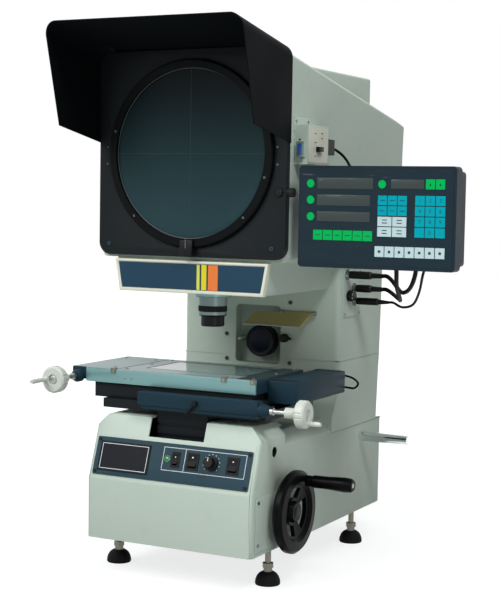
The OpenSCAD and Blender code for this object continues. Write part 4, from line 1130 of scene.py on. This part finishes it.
@dataclass
class Column:
    """Column with its surface lamp, half mirror and connectors.

    Attributes:
        side_x: The column's upright edges lie outside this.
        front: Where its front face is.
        panel_x: Where the connector panel's face is.
        screw_places: Place and height of each front screw.
        hinge: Depth and height of the half mirror's hinge.
        mirror_l: Length of the half mirror.
        mirror_tilt: How far it hangs down, in degrees.
        sockets: Depth, height and width of each socket's collar.
    """

    side_x: float = 170.0
    front: float = 75.0
    panel_x: float = 174.0
    screw_places: tuple[tuple[float, float], ...] = (
        (-74.0, 420.0),
        (-73.0, 370.0),
        (67.0, 489.0),
        (67.5, 369.0),
    )
    hinge: tuple[float, float] = (68.0, 470.0)
    mirror_l: float = 60.0
    mirror_tilt: float = 22.0
    sockets: tuple[Point, ...] = (
        (101.0, 547.0, 20.4),
        (136.0, 519.0, 20.4),
        (139.0, 494.0, 19.4),
    )

    def build(self) -> None:
        """Builds the column."""
        soften(
            "column",
            BODY,
            Rounding(11.0, lambda a, b: self.corner(a, b) and a.y < 90.0, 30.0, 4),
            Rounding(5.0, lambda a, b: self.corner(a, b) and a.y > 200.0, 30.0),
        )
        # The recess gets the body paint darkened as painted shade.
        soften("lamp_recess", SHADED_BODY)
        paint(OPTIC, "surface_lamp")
        paint(PLASTIC, "lamp_clamp", "cable_plugs", "fan_frame", "fan_rotor")
        paint(STEEL, "mirror_bracket")
        paint(GOLD, "half_mirror")
        soften("connector_panel", BODY)
        places = [(x, self.front - 0.6, z) for x, z in self.screw_places]
        screws("column screw", places, FACING_FRONT, 8.5, "frame", INSIDE)
        places = [(self.panel_x + 0.4, y, z) for y in (97.0, 167.0) for z in (469.0, 551.0)]
        screws("connector screw", places, FACING_RIGHT, 4.5, "frame")
        self.dress_lamp()
        self.dress_sockets()

    def corner(self, a: Vector, b: Vector) -> bool:
        """Says whether an edge is one of the column's upright corners."""
        return upright(a, b) and abs(a.x) > self.side_x

    def dress_lamp(self) -> None:
        """Adds the lamp's lens, the recess pin and the bright rod of the mirror."""
        lens = [(0.0, -1.2), (14.0, -0.6), (24.0, 1.6), (24.6, 3.0)]
        Maker.lathe("lamp lens", LENS, "frame", 64, (lens, (0.0, self.front, 409.0), Y_AXIS))
        pin = [(0.0, -6.0), (2.4, -5.4), (2.8, -3.0), (2.8, 24.0)]
        Maker.lathe("recess pin", CRANK, "frame", 24, (pin, (-44.0, self.front, 412.0), Y_AXIS))
        tilt = math.radians(self.mirror_tilt)
        y, z = self.hinge
        edge = (0.0, y - self.mirror_l * math.cos(tilt), z - self.mirror_l * math.sin(tilt))
        rod = [(0.0, -4.0), (1.5, -4.0), (1.5, 118.0), (0.0, 118.0)]
        Maker.lathe("mirror edge rod", STEEL, "flap", 20, (rod, edge, X_AXIS))

    def dress_sockets(self) -> None:
        """Adds the sockets' collars and the fuse cap on the connector panel."""
        collars = []
        for y, z, wide in self.sockets:
            collar = [(wide / 2, 1.0), (wide / 2, 8.1), (0.0, 8.1)]
            collars.append((collar, (self.panel_x, y, z), X_AXIS))
        Maker.lathe("socket collars", STEEL, "frame", 40, *collars)
        cap = [(11.0, 0.5), (11.0, 4.0), (10.7, 11.6), (9.4, 13.6), (0.0, 13.6)]
        Maker.lathe("fuse cap", PLASTIC, "frame", 36, (cap, (self.panel_x, 112.0, 505.0), X_AXIS))


@dataclass
class Head:
    """Head housing with neck, band, objective and fold mirrors.

    Attributes:
        band_front: Where the band's face is.
        stripes: Name, left edge, right edge and finish of each stripe.
        lens_axis: The objective's axis, at height zero.
        grip_r: Radius of its grip band.
        grip_ribs: How many ribs the band has.
        box_front: Where the interface box's front is.
        box_side: Where its plate's back is.
        plate_marks: Depth and height of each mark on the plate.
    """

    band_front: float = -209.2
    stripes: tuple[tuple[str, float, float, Finish], ...] = (
        ("pale", 14.6, 20.6, PALE),
        ("yellow", 24.2, 34.6, YELLOW),
        ("orange", 38.0, 57.8, ORANGE),
    )
    lens_axis: Point = (0.0, -121.0, 0.0)
    grip_r: float = 26.1
    grip_ribs: int = 48
    box_front: float = -185.0
    box_side: float = 216.8
    plate_marks: tuple[tuple[float, float], ...] = (
        (-150.0, 808.0),
        (-122.0, 809.0),
        (-122.0, 800.0),
        (-150.0, 792.0),
        (-150.0, 768.0),
    )

    def build(self) -> None:
        """Builds the head."""
        soften(
            "head_shell",
            BODY,
            Rounding(8.0, self.shoulder, 40.0, 4),
            Rounding(5.0, self.neck_edge, 40.0),
        )
        soften("mirror_box", BODY, Rounding(5.0, shortest=40.0))
        soften("name_band", CREAM, Rounding(2.0, lambda a, b: max(a.y, b.y) < -208.0, 30.0, 2))
        paint(MIRROR, "fold_mirrors")
        paint(FLANGE, "objective_mount")
        paint(OPTIC, "objective_lens")
        soften("readout_arm", BODY)
        self.dress_band()
        self.dress_objective()
        soften("interface_box", BODY, Rounding(1.0, shortest=30.0, segments=2))
        self.dress_interface()

    @staticmethod
    def shoulder(a: Vector, b: Vector) -> bool:
        """Says whether an edge is a side edge of the head behind the screen."""
        outside = min(abs(a.x), abs(b.x)) > 188.0
        return outside and min(a.z, b.z) > 575.0 and max(a.y, b.y) > -195.0

    @staticmethod
    def neck_edge(a: Vector, b: Vector) -> bool:
        """Says whether an edge is an outer edge of the neck."""
        return abs(a.x) > 145.0 and max(a.z, b.z) < 582.0 and max(a.y, b.y) < 78.0

    def dress_band(self) -> None:
        """Adds the band's slate label and its three stripes."""
        bm = bmesh.new()
        outline = [(-144.0, 524.6), (144.0, 524.6), (151.5, 571.4), (-151.5, 571.4)]
        back, front = (
            [bm.verts.new((x, self.band_front - out, z)) for x, z in outline]
            for out in (0.0, 0.6)
        )
        bm.faces.new(front)
        Maker.skin(bm, (back, front))
        Maker.finish("band label", bm, LABEL, "frame")
        for name, left, right, look in self.stripes:
            span = ((left, self.band_front - 1.0, 525.2), (right, self.band_front - 0.4, 570.8))
            Maker.boxes(f"{name} stripe", look, "frame", span)

    def dress_objective(self) -> None:
        """Adds the objective's pale sleeves, its grip band and its front glass."""
        upper = [(25.9, 491.4), (26.3, 491.6), (26.3, 507.9), (25.9, 508.0)]
        lower = [(25.9, 474.4), (26.3, 474.8), (26.3, 480.2), (25.9, 480.6)]
        sleeves = [(profile, self.lens_axis, Z_AXIS) for profile in (upper, lower)]
        Maker.lathe("objective rings", SLEEVE, "frame", 64, *sleeves)
        ribs = []
        for k in range(self.grip_ribs):
            angle = 2.0 * math.pi * k / self.grip_ribs
            reach = Vector((math.cos(angle), math.sin(angle), 0.0)) * self.grip_r
            ribs.append(tuple(Vector(self.lens_axis) + reach + Vector((0.0, 0.0, 486.0))))
        DISC.put("objective grip", ribs, (1.9, 1.9, 9.6), FACING_UP, PLASTIC, "frame")
        glass = [(17.5, 455.6), (9.0, 456.6), (0.0, 457.0)]
        form = (glass, self.lens_axis, Z_AXIS)
        Maker.lathe("objective front glass", LENS, "frame", 48, form)

    def dress_interface(self) -> None:
        """Adds the data socket, the plug, the plate and its marks on the interface box."""
        y, x = self.box_front, self.box_side
        flange = ((196.6, y - 1.6, 765.6), (211.4, y + 0.2, 792.6))
        Maker.boxes("data socket flange", SLEEVE, "frame", flange, round_by=0.8)
        socket = ((200.2, y - 3.6, 769.0), (207.8, y, 789.0))
        Maker.boxes("data socket", BLUE, "frame", socket, round_by=1.2)
        places = [(204.0, y - 1.0, z) for z in (762.4, 795.8)]
        screws("data socket screw", places, FACING_FRONT, 3.6, "frame")
        plug = ((x + 0.4, -147.0, 776.0), (x + 6.8, -126.0, 785.0))
        Maker.boxes("side plug", PLASTIC, "frame", plug, round_by=1.2)
        plate = ((x, -177.0, 757.0), (x + 0.55, -97.0, 818.5))
        Maker.boxes("interface plate", CREAM, "frame", plate)
        marks = [(x + 0.6, depth, height) for depth, height in self.plate_marks]
        BLOCK.put("interface marks", marks, (0.5, 7.0, 1.6), FACING_UP, SLATE, "frame")
        places = [(193.4, depth, 829.0) for depth in (-179.0, -130.0)]
        screws("interface screw", places, FACING_RIGHT, 5.0, "frame")


@dataclass
class Screen:
    """Screen frame, turning ring, ground glass and hood.

    Attributes:
        front: Where the ring's face is.
        frame_front: Where the frame's face is.
        clip_r: Radius of the ring of clip screws.
        clip_angles: Their angles, in degrees.
        glass_r: Length of the cross lines from the middle.
    """

    front: float = -221.0
    frame_front: float = -213.4
    clip_r: float = 159.5
    clip_angles: tuple[float, ...] = (165.3, -134.6, -44.9, -15.1)
    glass_r: float = 152.5

    def build(self) -> None:
        """Builds the screen."""
        soften("screen_frame", BLACK, Rounding(2.0, self.frame_edge, 4.0, 2))
        # The ring gets a black darkened as painted hood shade.
        paint(SHADED_RING, "screen_ring")
        soften("hood", HOOD)
        soften("index_block", PLASTIC, Rounding(1.0, shortest=4.0, segments=2))
        paint(PLASTIC, "screen_knob")
        paint(SCREEN, "screen_glass")
        self.dress_glass()
        self.dress_ring()

    @staticmethod
    def frame_edge(a: Vector, b: Vector) -> bool:
        """Says whether an edge is an outer front edge of the frame."""
        outer = min(abs(a.x), abs(b.x)) + abs(a.z - SCREEN_Z) > 180.0
        return max(a.y, b.y) < -212.0 and outer

    def dress_glass(self) -> None:
        """Adds the cross lines etched on the glass and a pale rim, a painted highlight on its
        bevelled edge.
        """
        y = self.front + 7.0
        lines = []
        for x, z in ((0.22, self.glass_r), (self.glass_r, 0.22)):
            lines.append(((-x, y - 0.12, SCREEN_Z - z), (x, y + 0.05, SCREEN_Z + z)))
        Maker.boxes("cross lines", LINE, "screen", *lines)
        # painted highlight: a pale grey ring stands for the light caught by the glass's bevelled
        # edge
        rim = [(151.8, 6.95), (151.8, 6.7), (153.1, 6.2), (153.2, 2.0)]
        form = (rim, (0.0, self.front, SCREEN_Z), Y_AXIS)
        Maker.lathe("glass rim", INSIDE, "screen", 128, form)

    def dress_ring(self) -> None:
        """Adds the clip screws, the frame screws, the drive cover and the index line."""
        places = []
        for angle in self.clip_angles:
            turn = math.radians(angle)
            x, z = self.clip_r * math.cos(turn), self.clip_r * math.sin(turn)
            places.append((x, self.front - 0.4, SCREEN_Z + z))
        screws("ring clip", places, FACING_FRONT, 4.4, "screen", INSIDE)
        sides = ((174.6, 781.7), (175.3, 751.2), (-174.6, 781.7), (-175.3, 751.2))
        places = [(x, self.frame_front, z) for x, z in sides]
        screws("frame screw", places, FACING_FRONT, 4.0, "frame", INSIDE)
        places = [(x, self.frame_front, z) for x, z in ((-170.5, 604.5), (166.1, 604.3))]
        screws("frame corner screw", places, FACING_FRONT, 8.0, "frame", SLATE)
        cover = [(0.0, -5.0), (5.5, -4.6), (7.5, -3.0), (8.0, 0.2)]
        form = (cover, (178.5, -213.0, 703.0), Y_AXIS)
        Maker.lathe("drive cover", PLASTIC, "frame", 32, form)
        line = ((-0.35, -228.2, 600.0), (0.35, -226.0, 616.0))
        Maker.boxes("index line", SLEEVE, "frame", line)


@dataclass
class Stage:
    """Lift plate, saddle, table, scale boxes and cranks.

    Attributes:
        top: Height of the table's skins.
        skins: Left, front, right and back of each pale skin, pale partly as a painted reflection.
        end_skin: The same of the dark skin at the right end.
        glass_rim: The same of each strip round the stage glass.
        strip_front: Where the pale strip's face is.
        clip_x: Places of the strip's clips.
        clip_w: Half the width of a clip.
    """

    top: float = 372.15
    skins: tuple[Bar, ...] = (
        (-239.0, -227.0, -143.5, -34.0),
        (-140.5, -224.5, 107.0, -183.0),
        (-140.5, -59.0, 107.0, -34.0),
        (-140.5, -183.0, -107.0, -59.0),
    )
    end_skin: Bar = (107.6, -224.5, 147.0, -34.0)
    glass_rim: tuple[Bar, ...] = (
        (-107.0, -183.0, 107.0, -180.6),
        (-107.0, -61.4, 107.0, -59.0),
        (-107.0, -183.0, -104.6, -59.0),
        (104.6, -183.0, 107.0, -59.0),
    )
    strip_front: float = -231.0
    clip_x: Point = (-147.5, 85.0, 143.0)
    clip_w: float = 5.2

    def build(self) -> None:
        """Builds the stage."""
        edge = Rounding(1.2, shortest=14.0, segments=2)
        soften("stage_plate", DARK_STAGE, edge)
        soften("saddle", DARK_STAGE, edge)
        front_edge = Rounding(1.6, lambda a, b: max(a.y, b.y) < -230.0, 20.0, 2)
        soften("x_scale_box", SCALE_BOX, front_edge)
        soften("table", SCALE_BOX, Rounding(1.0, lambda a, b: min(a.z, b.z) > 371.0, 30.0, 2))
        soften("table_strip", STRIP, Rounding(0.8, shortest=5.0, segments=2))
        soften("y_scale_box", SCALE_BOX, Rounding(2.0, shortest=20.0))
        paint(GLASS, "stage_glass")
        paint(CRANK, "x_crank", "y_crank")
        paint(PLASTIC, "x_lock")
        self.dress_top()
        self.dress_strip()
        self.dress_boxes()

    @staticmethod
    def flat(bars: Sequence[Bar], low: float, high: float) -> list[tuple[Point, Point]]:
        """Gives the corners of flat plates between two heights."""
        return [((b[0], b[1], low), (b[2], b[3], high)) for b in bars]

    def dress_top(self) -> None:
        """Adds the ground top plates, pale partly as a painted reflection of a bright wall, the
        screws and the glass's rim to the table.
        """
        top = self.top
        # painted reflection: the pale skins are partly the top's colour, partly a bright wall's
        # reflection
        skins = self.flat(self.skins, top - 0.6, top)
        Maker.boxes("table skin", TABLE_TOP_AND_REFLECTION, "y_table", *skins)
        skins = self.flat((self.end_skin,), top - 0.6, top)
        Maker.boxes("table end", TABLE_END, "y_table", *skins)
        spots = [(x, y) for x in (-130.0, 135.0) for y in (-212.0, -122.0, -46.0)]
        spots += [(-227.0, -60.0), (-160.0, -60.0), (-160.0, -205.0)]
        places = [(x, y, top + 0.2) for x, y in spots]
        screws("table screw", places, FACING_UP, 6.0, "y_table")
        rim = self.flat(self.glass_rim, 371.4, 372.3)
        Maker.boxes("glass clamp rim", BADGE, "y_table", *rim, round_by=0.2)

    def dress_strip(self) -> None:
        """Adds the pale strip's screws, clips and polished edge."""
        y = self.strip_front
        places = [(x, y - 0.2, 356.2) for x in (-124.3, -109.1)]
        screws("strip screw", places, FACING_FRONT, 4.2, "y_table")
        clips = []
        for x in self.clip_x:
            left, right, out = x - self.clip_w, x + self.clip_w, y - 1.8
            clips.append(((left, out, 364.3), (right, y, 373.8)))
            clips.append(((left, out, 372.2), (right, y + 6.2, 373.8)))
        Maker.boxes("strip clips", BRASS, "y_table", *clips, round_by=0.4)
        edge = ((-207.5, y - 0.15, 371.0), (147.5, y + 0.5, 371.9))
        Maker.boxes("strip edge", STEEL, "y_table", edge)
        places = [(x, y - 1.8, 368.6) for x in self.clip_x]
        screws("clip screw", places, FACING_FRONT, 4.2, "y_table")

    @staticmethod
    def dress_boxes() -> None:
        """Adds trim to the scale boxes and rings and caps to the cranks."""
        Maker.boxes(
            "y box trim",
            BADGE,
            "y_table",
            ((207.8, -181.0, 329.5), (208.5, 25.0, 332.0)),
            ((150.0, -181.0, 367.8), (206.0, -168.0, 368.4)),
            ((150.0, 12.0, 367.8), (206.0, 25.0, 368.4)),
        )
        Maker.boxes("x box lip", BADGE, "lift", ((-76.0, -256.5, 313.0), (162.0, -255.8, 314.0)))
        cap = [(7.5, 0.0), (7.5, 1.0), (5.5, 1.8), (0.0, 2.0)]
        for name, start, length, ring_at, cap_at, axis in (
            ("x", 186.0, 29.8, (0.0, -245.0, 322.4), (255.2, -245.0, 322.4), X_AXIS),
            ("y", 0.0, 27.8, (-225.0, -246.0, 355.0), (-225.0, -313.2, 355.0), TO_FRONT),
        ):
            steps = ((4.0, 0.0), (6.4, 0.4), (6.4, 6.0), (4.08, 6.4), (4.08, length))
            ring = [(radius, start + along) for radius, along in steps]
            Maker.lathe(f"{name} shaft ring", STEEL, f"{name}_handle", 32, (ring, ring_at, axis))
            Maker.lathe(f"{name} crank cap", STEEL, f"{name}_handle", 32, (cap, cap_at, axis))


@dataclass
class KeyBlock:
    """A block of equal keys on the readout.

    Attributes:
        name: Name of the block.
        left: Left edge.
        right: Right edge.
        high: Top edge.
        low: Lower edge.
        columns: Keys across.
        rows: Keys down.
        look: Finish of the keys.
    """

    name: str
    left: float
    right: float
    high: float
    low: float
    columns: int
    rows: int
    look: Finish

    def step(self) -> tuple[float, float]:
        """Gives the distance from key to key across and up."""
        return (self.right - self.left) / self.columns, (self.high - self.low) / self.rows

    def middles(self) -> list[tuple[float, float]]:
        """Gives the middle of each key, column by column from the lower left."""
        across, up = self.step()
        return [
            (self.left + (i + 0.5) * across, self.low + (j + 0.5) * up)
            for i in range(self.columns)
            for j in range(self.rows)
        ]

    def build(self, front: float) -> None:
        """Stamps the keys.

        Args:
            front: Where the keys' middle is.
        """
        across, up = self.step()
        points = [(x, front, z) for x, z in self.middles()]
        size = (across - 1.5, 1.8, up - 1.5)
        BLOCK.put(f"{self.name} keys", points, size, FACING_UP, self.look, "display")


@dataclass
class Readout:
    """Swivelling digital readout with bare displays and keys.

    Attributes:
        front: Where its face is.
        back: Where its back is.
        mark_y: Where the keys' printed marks are.
        measure_z: Height of the marks on the measure keys.
        memory_z: Height of the marks on the memory keys.
        windows: Left, right, top and lower edge of each display.
        buttons: Middle of each round key.
        glands: Place, height and inner radius of each cable gland.
        blocks: The blocks of keys, by name.
    """

    front: float = -208.0
    back: float = -142.0
    mark_y: float = -209.1
    measure_z: float = 631.2
    memory_z: float = 605.7
    windows: tuple[Bar, ...] = (
        (249.5, 353.0, 729.4, 710.8),
        (249.5, 348.0, 700.5, 682.0),
        (249.5, 348.0, 671.6, 655.0),
        (385.5, 444.5, 727.4, 712.2),
    )
    buttons: tuple[tuple[float, float], ...] = (
        (237.0, 719.4),
        (237.5, 691.3),
        (238.0, 662.7),
        (369.6, 719.2),
    )
    glands: tuple[Point, ...] = (
        (404.0, 592.0, 4.1),
        (364.0, 592.0, 4.1),
        (424.0, 592.0, 2.6),
        (288.0, 702.5, 2.6),
    )
    blocks: dict[str, KeyBlock] = field(
        default_factory=lambda: {
            block.name: block
            for block in (
                KeyBlock("function", 447.0, 482.0, 729.0, 711.0, 2, 1, GREEN),
                KeyBlock("axis", 362.0, 415.5, 701.0, 666.0, 3, 2, CYAN),
                KeyBlock("mode", 362.0, 415.5, 665.5, 630.5, 2, 2, WHITE),
                KeyBlock("number", 429.0, 483.5, 701.5, 630.5, 3, 4, CYAN),
                KeyBlock("measure", 243.0, 354.0, 640.5, 622.0, 6, 1, GREEN),
                KeyBlock("memory", 358.0, 484.0, 615.5, 596.0, 7, 1, WHITE),
            )
        }
    )

    def build(self) -> None:
        """Builds the readout."""
        y = self.front
        soften("readout", READOUT, Rounding(3.0, lambda a, b: max(a.y, b.y) < -205.0, 4.0))
        face = ((220.0, y - 0.5, 581.0), (496.0, y + 1.0, 744.0))
        Maker.boxes("readout face", FACE, "display", face)
        spans = [
            ((left, y - 0.9, low), (right, y, high)) for left, right, high, low in self.windows
        ]
        Maker.boxes("display windows", WINDOW, "display", *spans, round_by=0.4)
        points = [(x, y, z) for x, z in self.buttons]
        DISC.put("axis buttons", points, (14.0, 14.0, 2.4), FACING_FRONT, GREEN, "display")
        for block in self.blocks.values():
            block.build(y - 0.2)
        self.dress_keys()
        self.dress_back()

    def dress_keys(self) -> None:
        """Prints plain digits on the number keys and short marks on the others."""
        y = self.mark_y
        middles = {name: block.middles() for name, block in self.blocks.items()}
        number = self.blocks["number"]
        for k, digit in enumerate("123456789.0-"):
            row, column = divmod(k, number.columns)
            x, z = middles["number"][column * number.rows + number.rows - 1 - row]
            self.glyph(f"digit {k}", digit, x, z)
        bars = [(x, y, z) for x, z in middles["axis"]]
        BLOCK.put("axis marks", bars, (9.0, 0.3, 1.4), FACING_UP, LABEL, "display")
        dark = [(x, y, z + up) for x, z in middles["mode"] for up in (-2.5, 2.5)]
        dark += [(x, y, self.measure_z) for x, _ in middles["measure"]]
        BLOCK.put("mode marks", dark, (9.0, 0.3, 1.6), FACING_UP, SLATE, "display")
        spots = [(x, y, self.memory_z) for x, _ in middles["memory"]]
        DISC.put("memory marks", spots, (5.0, 5.0, 0.3), FACING_FRONT, SLATE, "display")
        arrows = bmesh.new()
        for x, _ in middles["function"]:
            Maker.turned(arrows, [(2.6, 0.0), (0.0, 5.0)], (x, y + 0.2, 717.6), Z_AXIS, 3)
        about = Matrix.Translation((0.0, -y, 0.0))
        bmesh.ops.scale(arrows, vec=(1.0, 0.1, 1.0), space=about, verts=arrows.verts)
        Maker.finish("arrow marks", arrows, BADGE, "display")

    def glyph(self, name: str, text: str, x: float, z: float, height: float = 9.0) -> None:
        """Prints one character on the readout's face.

        Args:
            name: Name of the object.
            text: The character.
            x: Its middle across.
            z: Its middle up.
            height: Its height.
        """
        curve = bpy.data.curves.new(name, "FONT")
        curve.body = text
        curve.size = height * MM
        curve.align_x = "CENTER"
        curve.align_y = "CENTER"
        stand = bpy.data.objects.new(name, curve)
        bpy.context.scene.collection.objects.link(stand)
        mesh = evaluated_mesh(stand)
        bpy.data.objects.remove(stand)
        place = Matrix.Translation(Vector((x, self.front - 1.2, z)) * MM)
        mesh.transform(place @ Matrix.Rotation(math.pi / 2, 4, "X"))
        mesh.materials.clear()
        mesh.materials.append(LABEL.build())
        obj = bpy.data.objects.new(name.replace(" ", "_"), mesh)
        bpy.context.scene.collection.objects.link(obj)
        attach(obj, "display")

    def dress_back(self) -> None:
        """Adds the back cover's screws, vents and cable glands."""
        y = self.back
        places = [(x, y, z) for x in (230.0, 486.0) for z in (591.0, 734.0)]
        screws("readout screw", places, FACING_FRONT, 5.5, "display")
        slots = [(420.0, y, z) for z in range(660, 721, 6)]
        BLOCK.put("readout vents", slots, (90.0, 0.8, 2.2), FACING_UP, BADGE, "display")
        forms = []
        for x, z, inner in self.glands:
            wide = inner + 3.5
            gland = [(wide, 0.0), (wide, 3.0), (inner + 1.2, 6.0), (inner, 6.0)]
            forms.append((gland, (x, y, z), Y_AXIS))
        Maker.lathe("cable glands", PLASTIC, "display", 24, *forms)


@dataclass
class Cable:
    """A round cable through a list of points.

    Attributes:
        name: Name of the object.
        points: Points it passes through.
        width: Diameter.
        node: CAD node it stands for.
        steps: Samples between each pair of points.
        sides: Faces round it.
    """

    name: str
    points: Sequence[Point]
    width: float
    node: str
    steps: int = 4
    sides: int = 12

    def centreline(self) -> list[Vector]:
        """Samples the smooth curve through the points.

        Returns:
            The samples.
        """
        p = [Vector(q) for q in self.points]
        line = []
        for i in range(len(p) - 1):
            a, b, c, d = p[max(i - 1, 0)], p[i], p[i + 1], p[min(i + 2, len(p) - 1)]
            for k in range(self.steps):
                t = k / self.steps
                square = (2 * a - 5 * b + 4 * c - d) * t * t
                cube = (3 * b - a - 3 * c + d) * t * t * t
                line.append(0.5 * (2 * b + (c - a) * t + square + cube))
        line.append(p[-1])
        return line

    def build(self) -> bpy.types.Object:
        """Returns:
            The tube, not yet riding a body.
        """
        line = self.centreline()
        points = [Vector(q) for q in self.points]
        headings = [b - a for a, b in zip(line, line[2:])]
        headings = [points[1] - points[0], *headings, points[-1] - points[-2]]
        bm = bmesh.new()
        rings = []
        across = headings[0].normalized().orthogonal().normalized()
        for spot, heading in zip(line, headings):
            along = heading.normalized()
            across = (across - along * across.dot(along)).normalized()
            other = along.cross(across)
            ring = []
            for k in range(self.sides):
                angle = 2 * math.pi * k / self.sides
                reach = across * math.cos(angle) + other * math.sin(angle)
                ring.append(bm.verts.new(spot + reach * self.width / 2))
            rings.append(ring)
        Maker.skin(bm, rings)
        bm.faces.new(rings[0])
        bm.faces.new(rings[-1])
        obj = Maker.finish(self.name, bm, CABLE, None, 50.0)
        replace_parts(obj, self.node)
        return obj


@dataclass
class Wiring:
    """The readout's cables and the stage cable.

    Attributes:
        back: Where the readout's back is.
        straight: How far a cable runs straight into it.
        routes: Name, diameter, first points and gland of each of the readout's cables.
        loop: Points of the stage cable.
    """

    back: float = -142.0
    straight: float = 14.0
    routes: tuple[tuple[str, float, tuple[Point, ...], tuple[float, float]], ...] = (
        (
            "thick cable upper",
            8.0,
            (
                (248, 101, 547), (258, 101, 547), (272, 90, 541), (296, 60, 529),
                (322, 18, 523), (352, -30, 530), (378, -75, 547), (396, -108, 571),
            ),
            (404, 592.0),
        ),
        (
            "thick cable lower",
            8.0,
            (
                (234, 136, 519), (244, 136, 519), (262, 122, 513), (294, 76, 506),
                (318, 20, 510), (338, -50, 538), (358, -104, 569),
            ),
            (364, 592.0),
        ),
        (
            "thin cable",
            5.0,
            (
                (248, 139, 494), (258, 139, 494), (290, 104, 489), (336, 40, 500),
                (374, -30, 529), (402, -90, 562),
            ),
            (424, 592.0),
        ),
        (
            "signal cable",
            5.0,
            (
                (208, -66, 786), (208, -57, 786), (219, -41, 776), (231, -35, 760),
                (250, -58, 740), (274, -100, 716),
            ),
            (288, 702.5),
        ),
    )
    loop: tuple[Point, ...] = (
        (196, 27, 358), (196, 33, 358), (204, 40, 357), (218, 42, 353), (229, 41, 344),
        (222, 39, 335), (208, 40, 335), (194, 38, 336), (190, 32, 337), (190, 27, 337),
    )

    def build(self) -> None:
        """Builds the cables."""
        for name, width, start, (x, z) in self.routes:
            points = [*start, (x, self.back + self.straight, z), (x, self.back, z)]
            obj = Cable(name, points, width, "readout_cables").build()
            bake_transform(obj)
        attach(Cable("stage cable", self.loop, 4.0, "stage_cable").build(), "y_table")


@dataclass
class Studio:
    """Camera, lights and the pale floor.

    Attributes:
        azimuth: Turn of the camera round the machine, in degrees.
        elevation: Its tilt above the level, in degrees.
        roll: Its roll, in degrees.
        distance: Its distance from the target.
        target: What it looks at.
        focal_px: Focal length in pixels of the image.
        image_w: Width of the image in pixels.
        sensor: Width of the sensor.
        lights: Name, place, aim and width in metres, and power in watts, of each light.
    """

    azimuth: float = 27.26
    elevation: float = 4.24
    roll: float = 1.0
    distance: float = 2535.05
    target: Point = (125.43, -213.0, 503.5)
    focal_px: float = 1431.94
    image_w: float = 500.0
    sensor: float = 36.0
    lights: tuple[tuple[str, Point, Point, float, float], ...] = (
        ("key", (-1.1, -2.4, 2.3), (0.0, -0.1, 0.6), 1.6, 70.0),
        ("fill", (1.6, -1.3, 2.7), (0.2, 0.0, 0.7), 0.7, 31.0),
        ("top", (0.2, 0.2, 2.9), (0.0, 0.0, 0.5), 2.2, 30.0),
        ("low", (0.75, -0.72, 0.3), (0.18, -0.25, 0.25), 0.3, 1.3),
    )

    def build(self) -> None:
        """Builds the studio."""
        self.camera()
        self.world()
        self.floor()
        for light in self.lights:
            self.light(*light)

    def camera(self) -> None:
        """Puts the camera where the photo was taken from."""
        a, e, r = (math.radians(v) for v in (self.azimuth, self.elevation, self.roll))
        back = Vector((math.sin(a) * math.cos(e), -math.cos(a) * math.cos(e), math.sin(e)))
        right = Vector((math.cos(a), math.sin(a), 0.0))
        up = back.cross(right)
        side = right * math.cos(r) + up * math.sin(r)
        above = up * math.cos(r) - right * math.sin(r)
        place = (Vector(self.target) + back * self.distance) * MM
        data = bpy.data.cameras.new("camera")
        data.sensor_fit = "HORIZONTAL"
        data.sensor_width = self.sensor
        data.lens = self.focal_px * self.sensor / self.image_w
        data.dof.use_dof = False
        obj = bpy.data.objects.new("camera", data)
        turn = Matrix((side, above, back)).transposed().to_4x4()
        obj.matrix_world = Matrix.Translation(place) @ turn
        bpy.context.scene.collection.objects.link(obj)
        bpy.context.scene.camera = obj

    @staticmethod
    def world() -> None:
        """Sets white behind the object and an even soft light round it."""
        world = bpy.data.worlds.new("studio")
        world.use_nodes = True
        tree = world.node_tree
        soft = tree.nodes["Background"]
        soft.inputs["Color"].default_value = (0.93, 0.97, 1.0, 1.0)
        soft.inputs["Strength"].default_value = 0.13
        white = add(tree, "ShaderNodeBackground", {"Color": (1.0, 1.0, 1.0, 1.0)})
        mix = add(tree, "ShaderNodeMixShader")
        tree.links.new(seeing_rays(tree), mix.inputs["Fac"])
        tree.links.new(soft.outputs["Background"], mix.inputs[1])
        tree.links.new(white.outputs["Background"], mix.inputs[2])
        tree.links.new(mix.outputs["Shader"], tree.nodes["World Output"].inputs["Surface"])
        bpy.context.scene.world = world
        bpy.context.scene.view_settings.view_transform = "Standard"

    @staticmethod
    def floor() -> None:
        """Lays the pale floor."""
        bm = bmesh.new()
        Maker.box(bm, (-9000.0, -9000.0, -20.0), (9000.0, 9000.0, -0.2))
        look = FloorFinish("pale floor", (150, 152, 151), 0.9, glow=0.82)
        Maker.finish("floor", bm, look, None)

    @staticmethod
    def light(name: str, at: Point, to: Point, size: float, power: float) -> None:
        """Adds a soft area light.

        Args:
            name: Name of the light.
            at: Where it stands, in metres.
            to: What it points at, in metres.
            size: Its width, in metres.
            power: Its power, in watts.
        """
        data = bpy.data.lights.new(name, "AREA")
        data.energy = power
        data.size = size
        obj = bpy.data.objects.new(name, data)
        obj.location = at
        obj.rotation_euler = (Vector(to) - Vector(at)).to_track_quat("-Z", "Y").to_euler()
        bpy.context.scene.collection.objects.link(obj)


def main() -> None:
    """Builds every sub-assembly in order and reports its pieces."""
    logging.basicConfig(level=logging.INFO)
    for part in (Base(), Column(), Head(), Screen(), Stage(), Readout(), Wiring(), Studio()):
        known = set(bpy.data.objects.keys())
        part.build()
        for name in sorted(set(bpy.data.objects.keys()) - known):
            LOG.info("%s: %s", type(part).__name__, name)


if __name__ == "__main__":
    main()
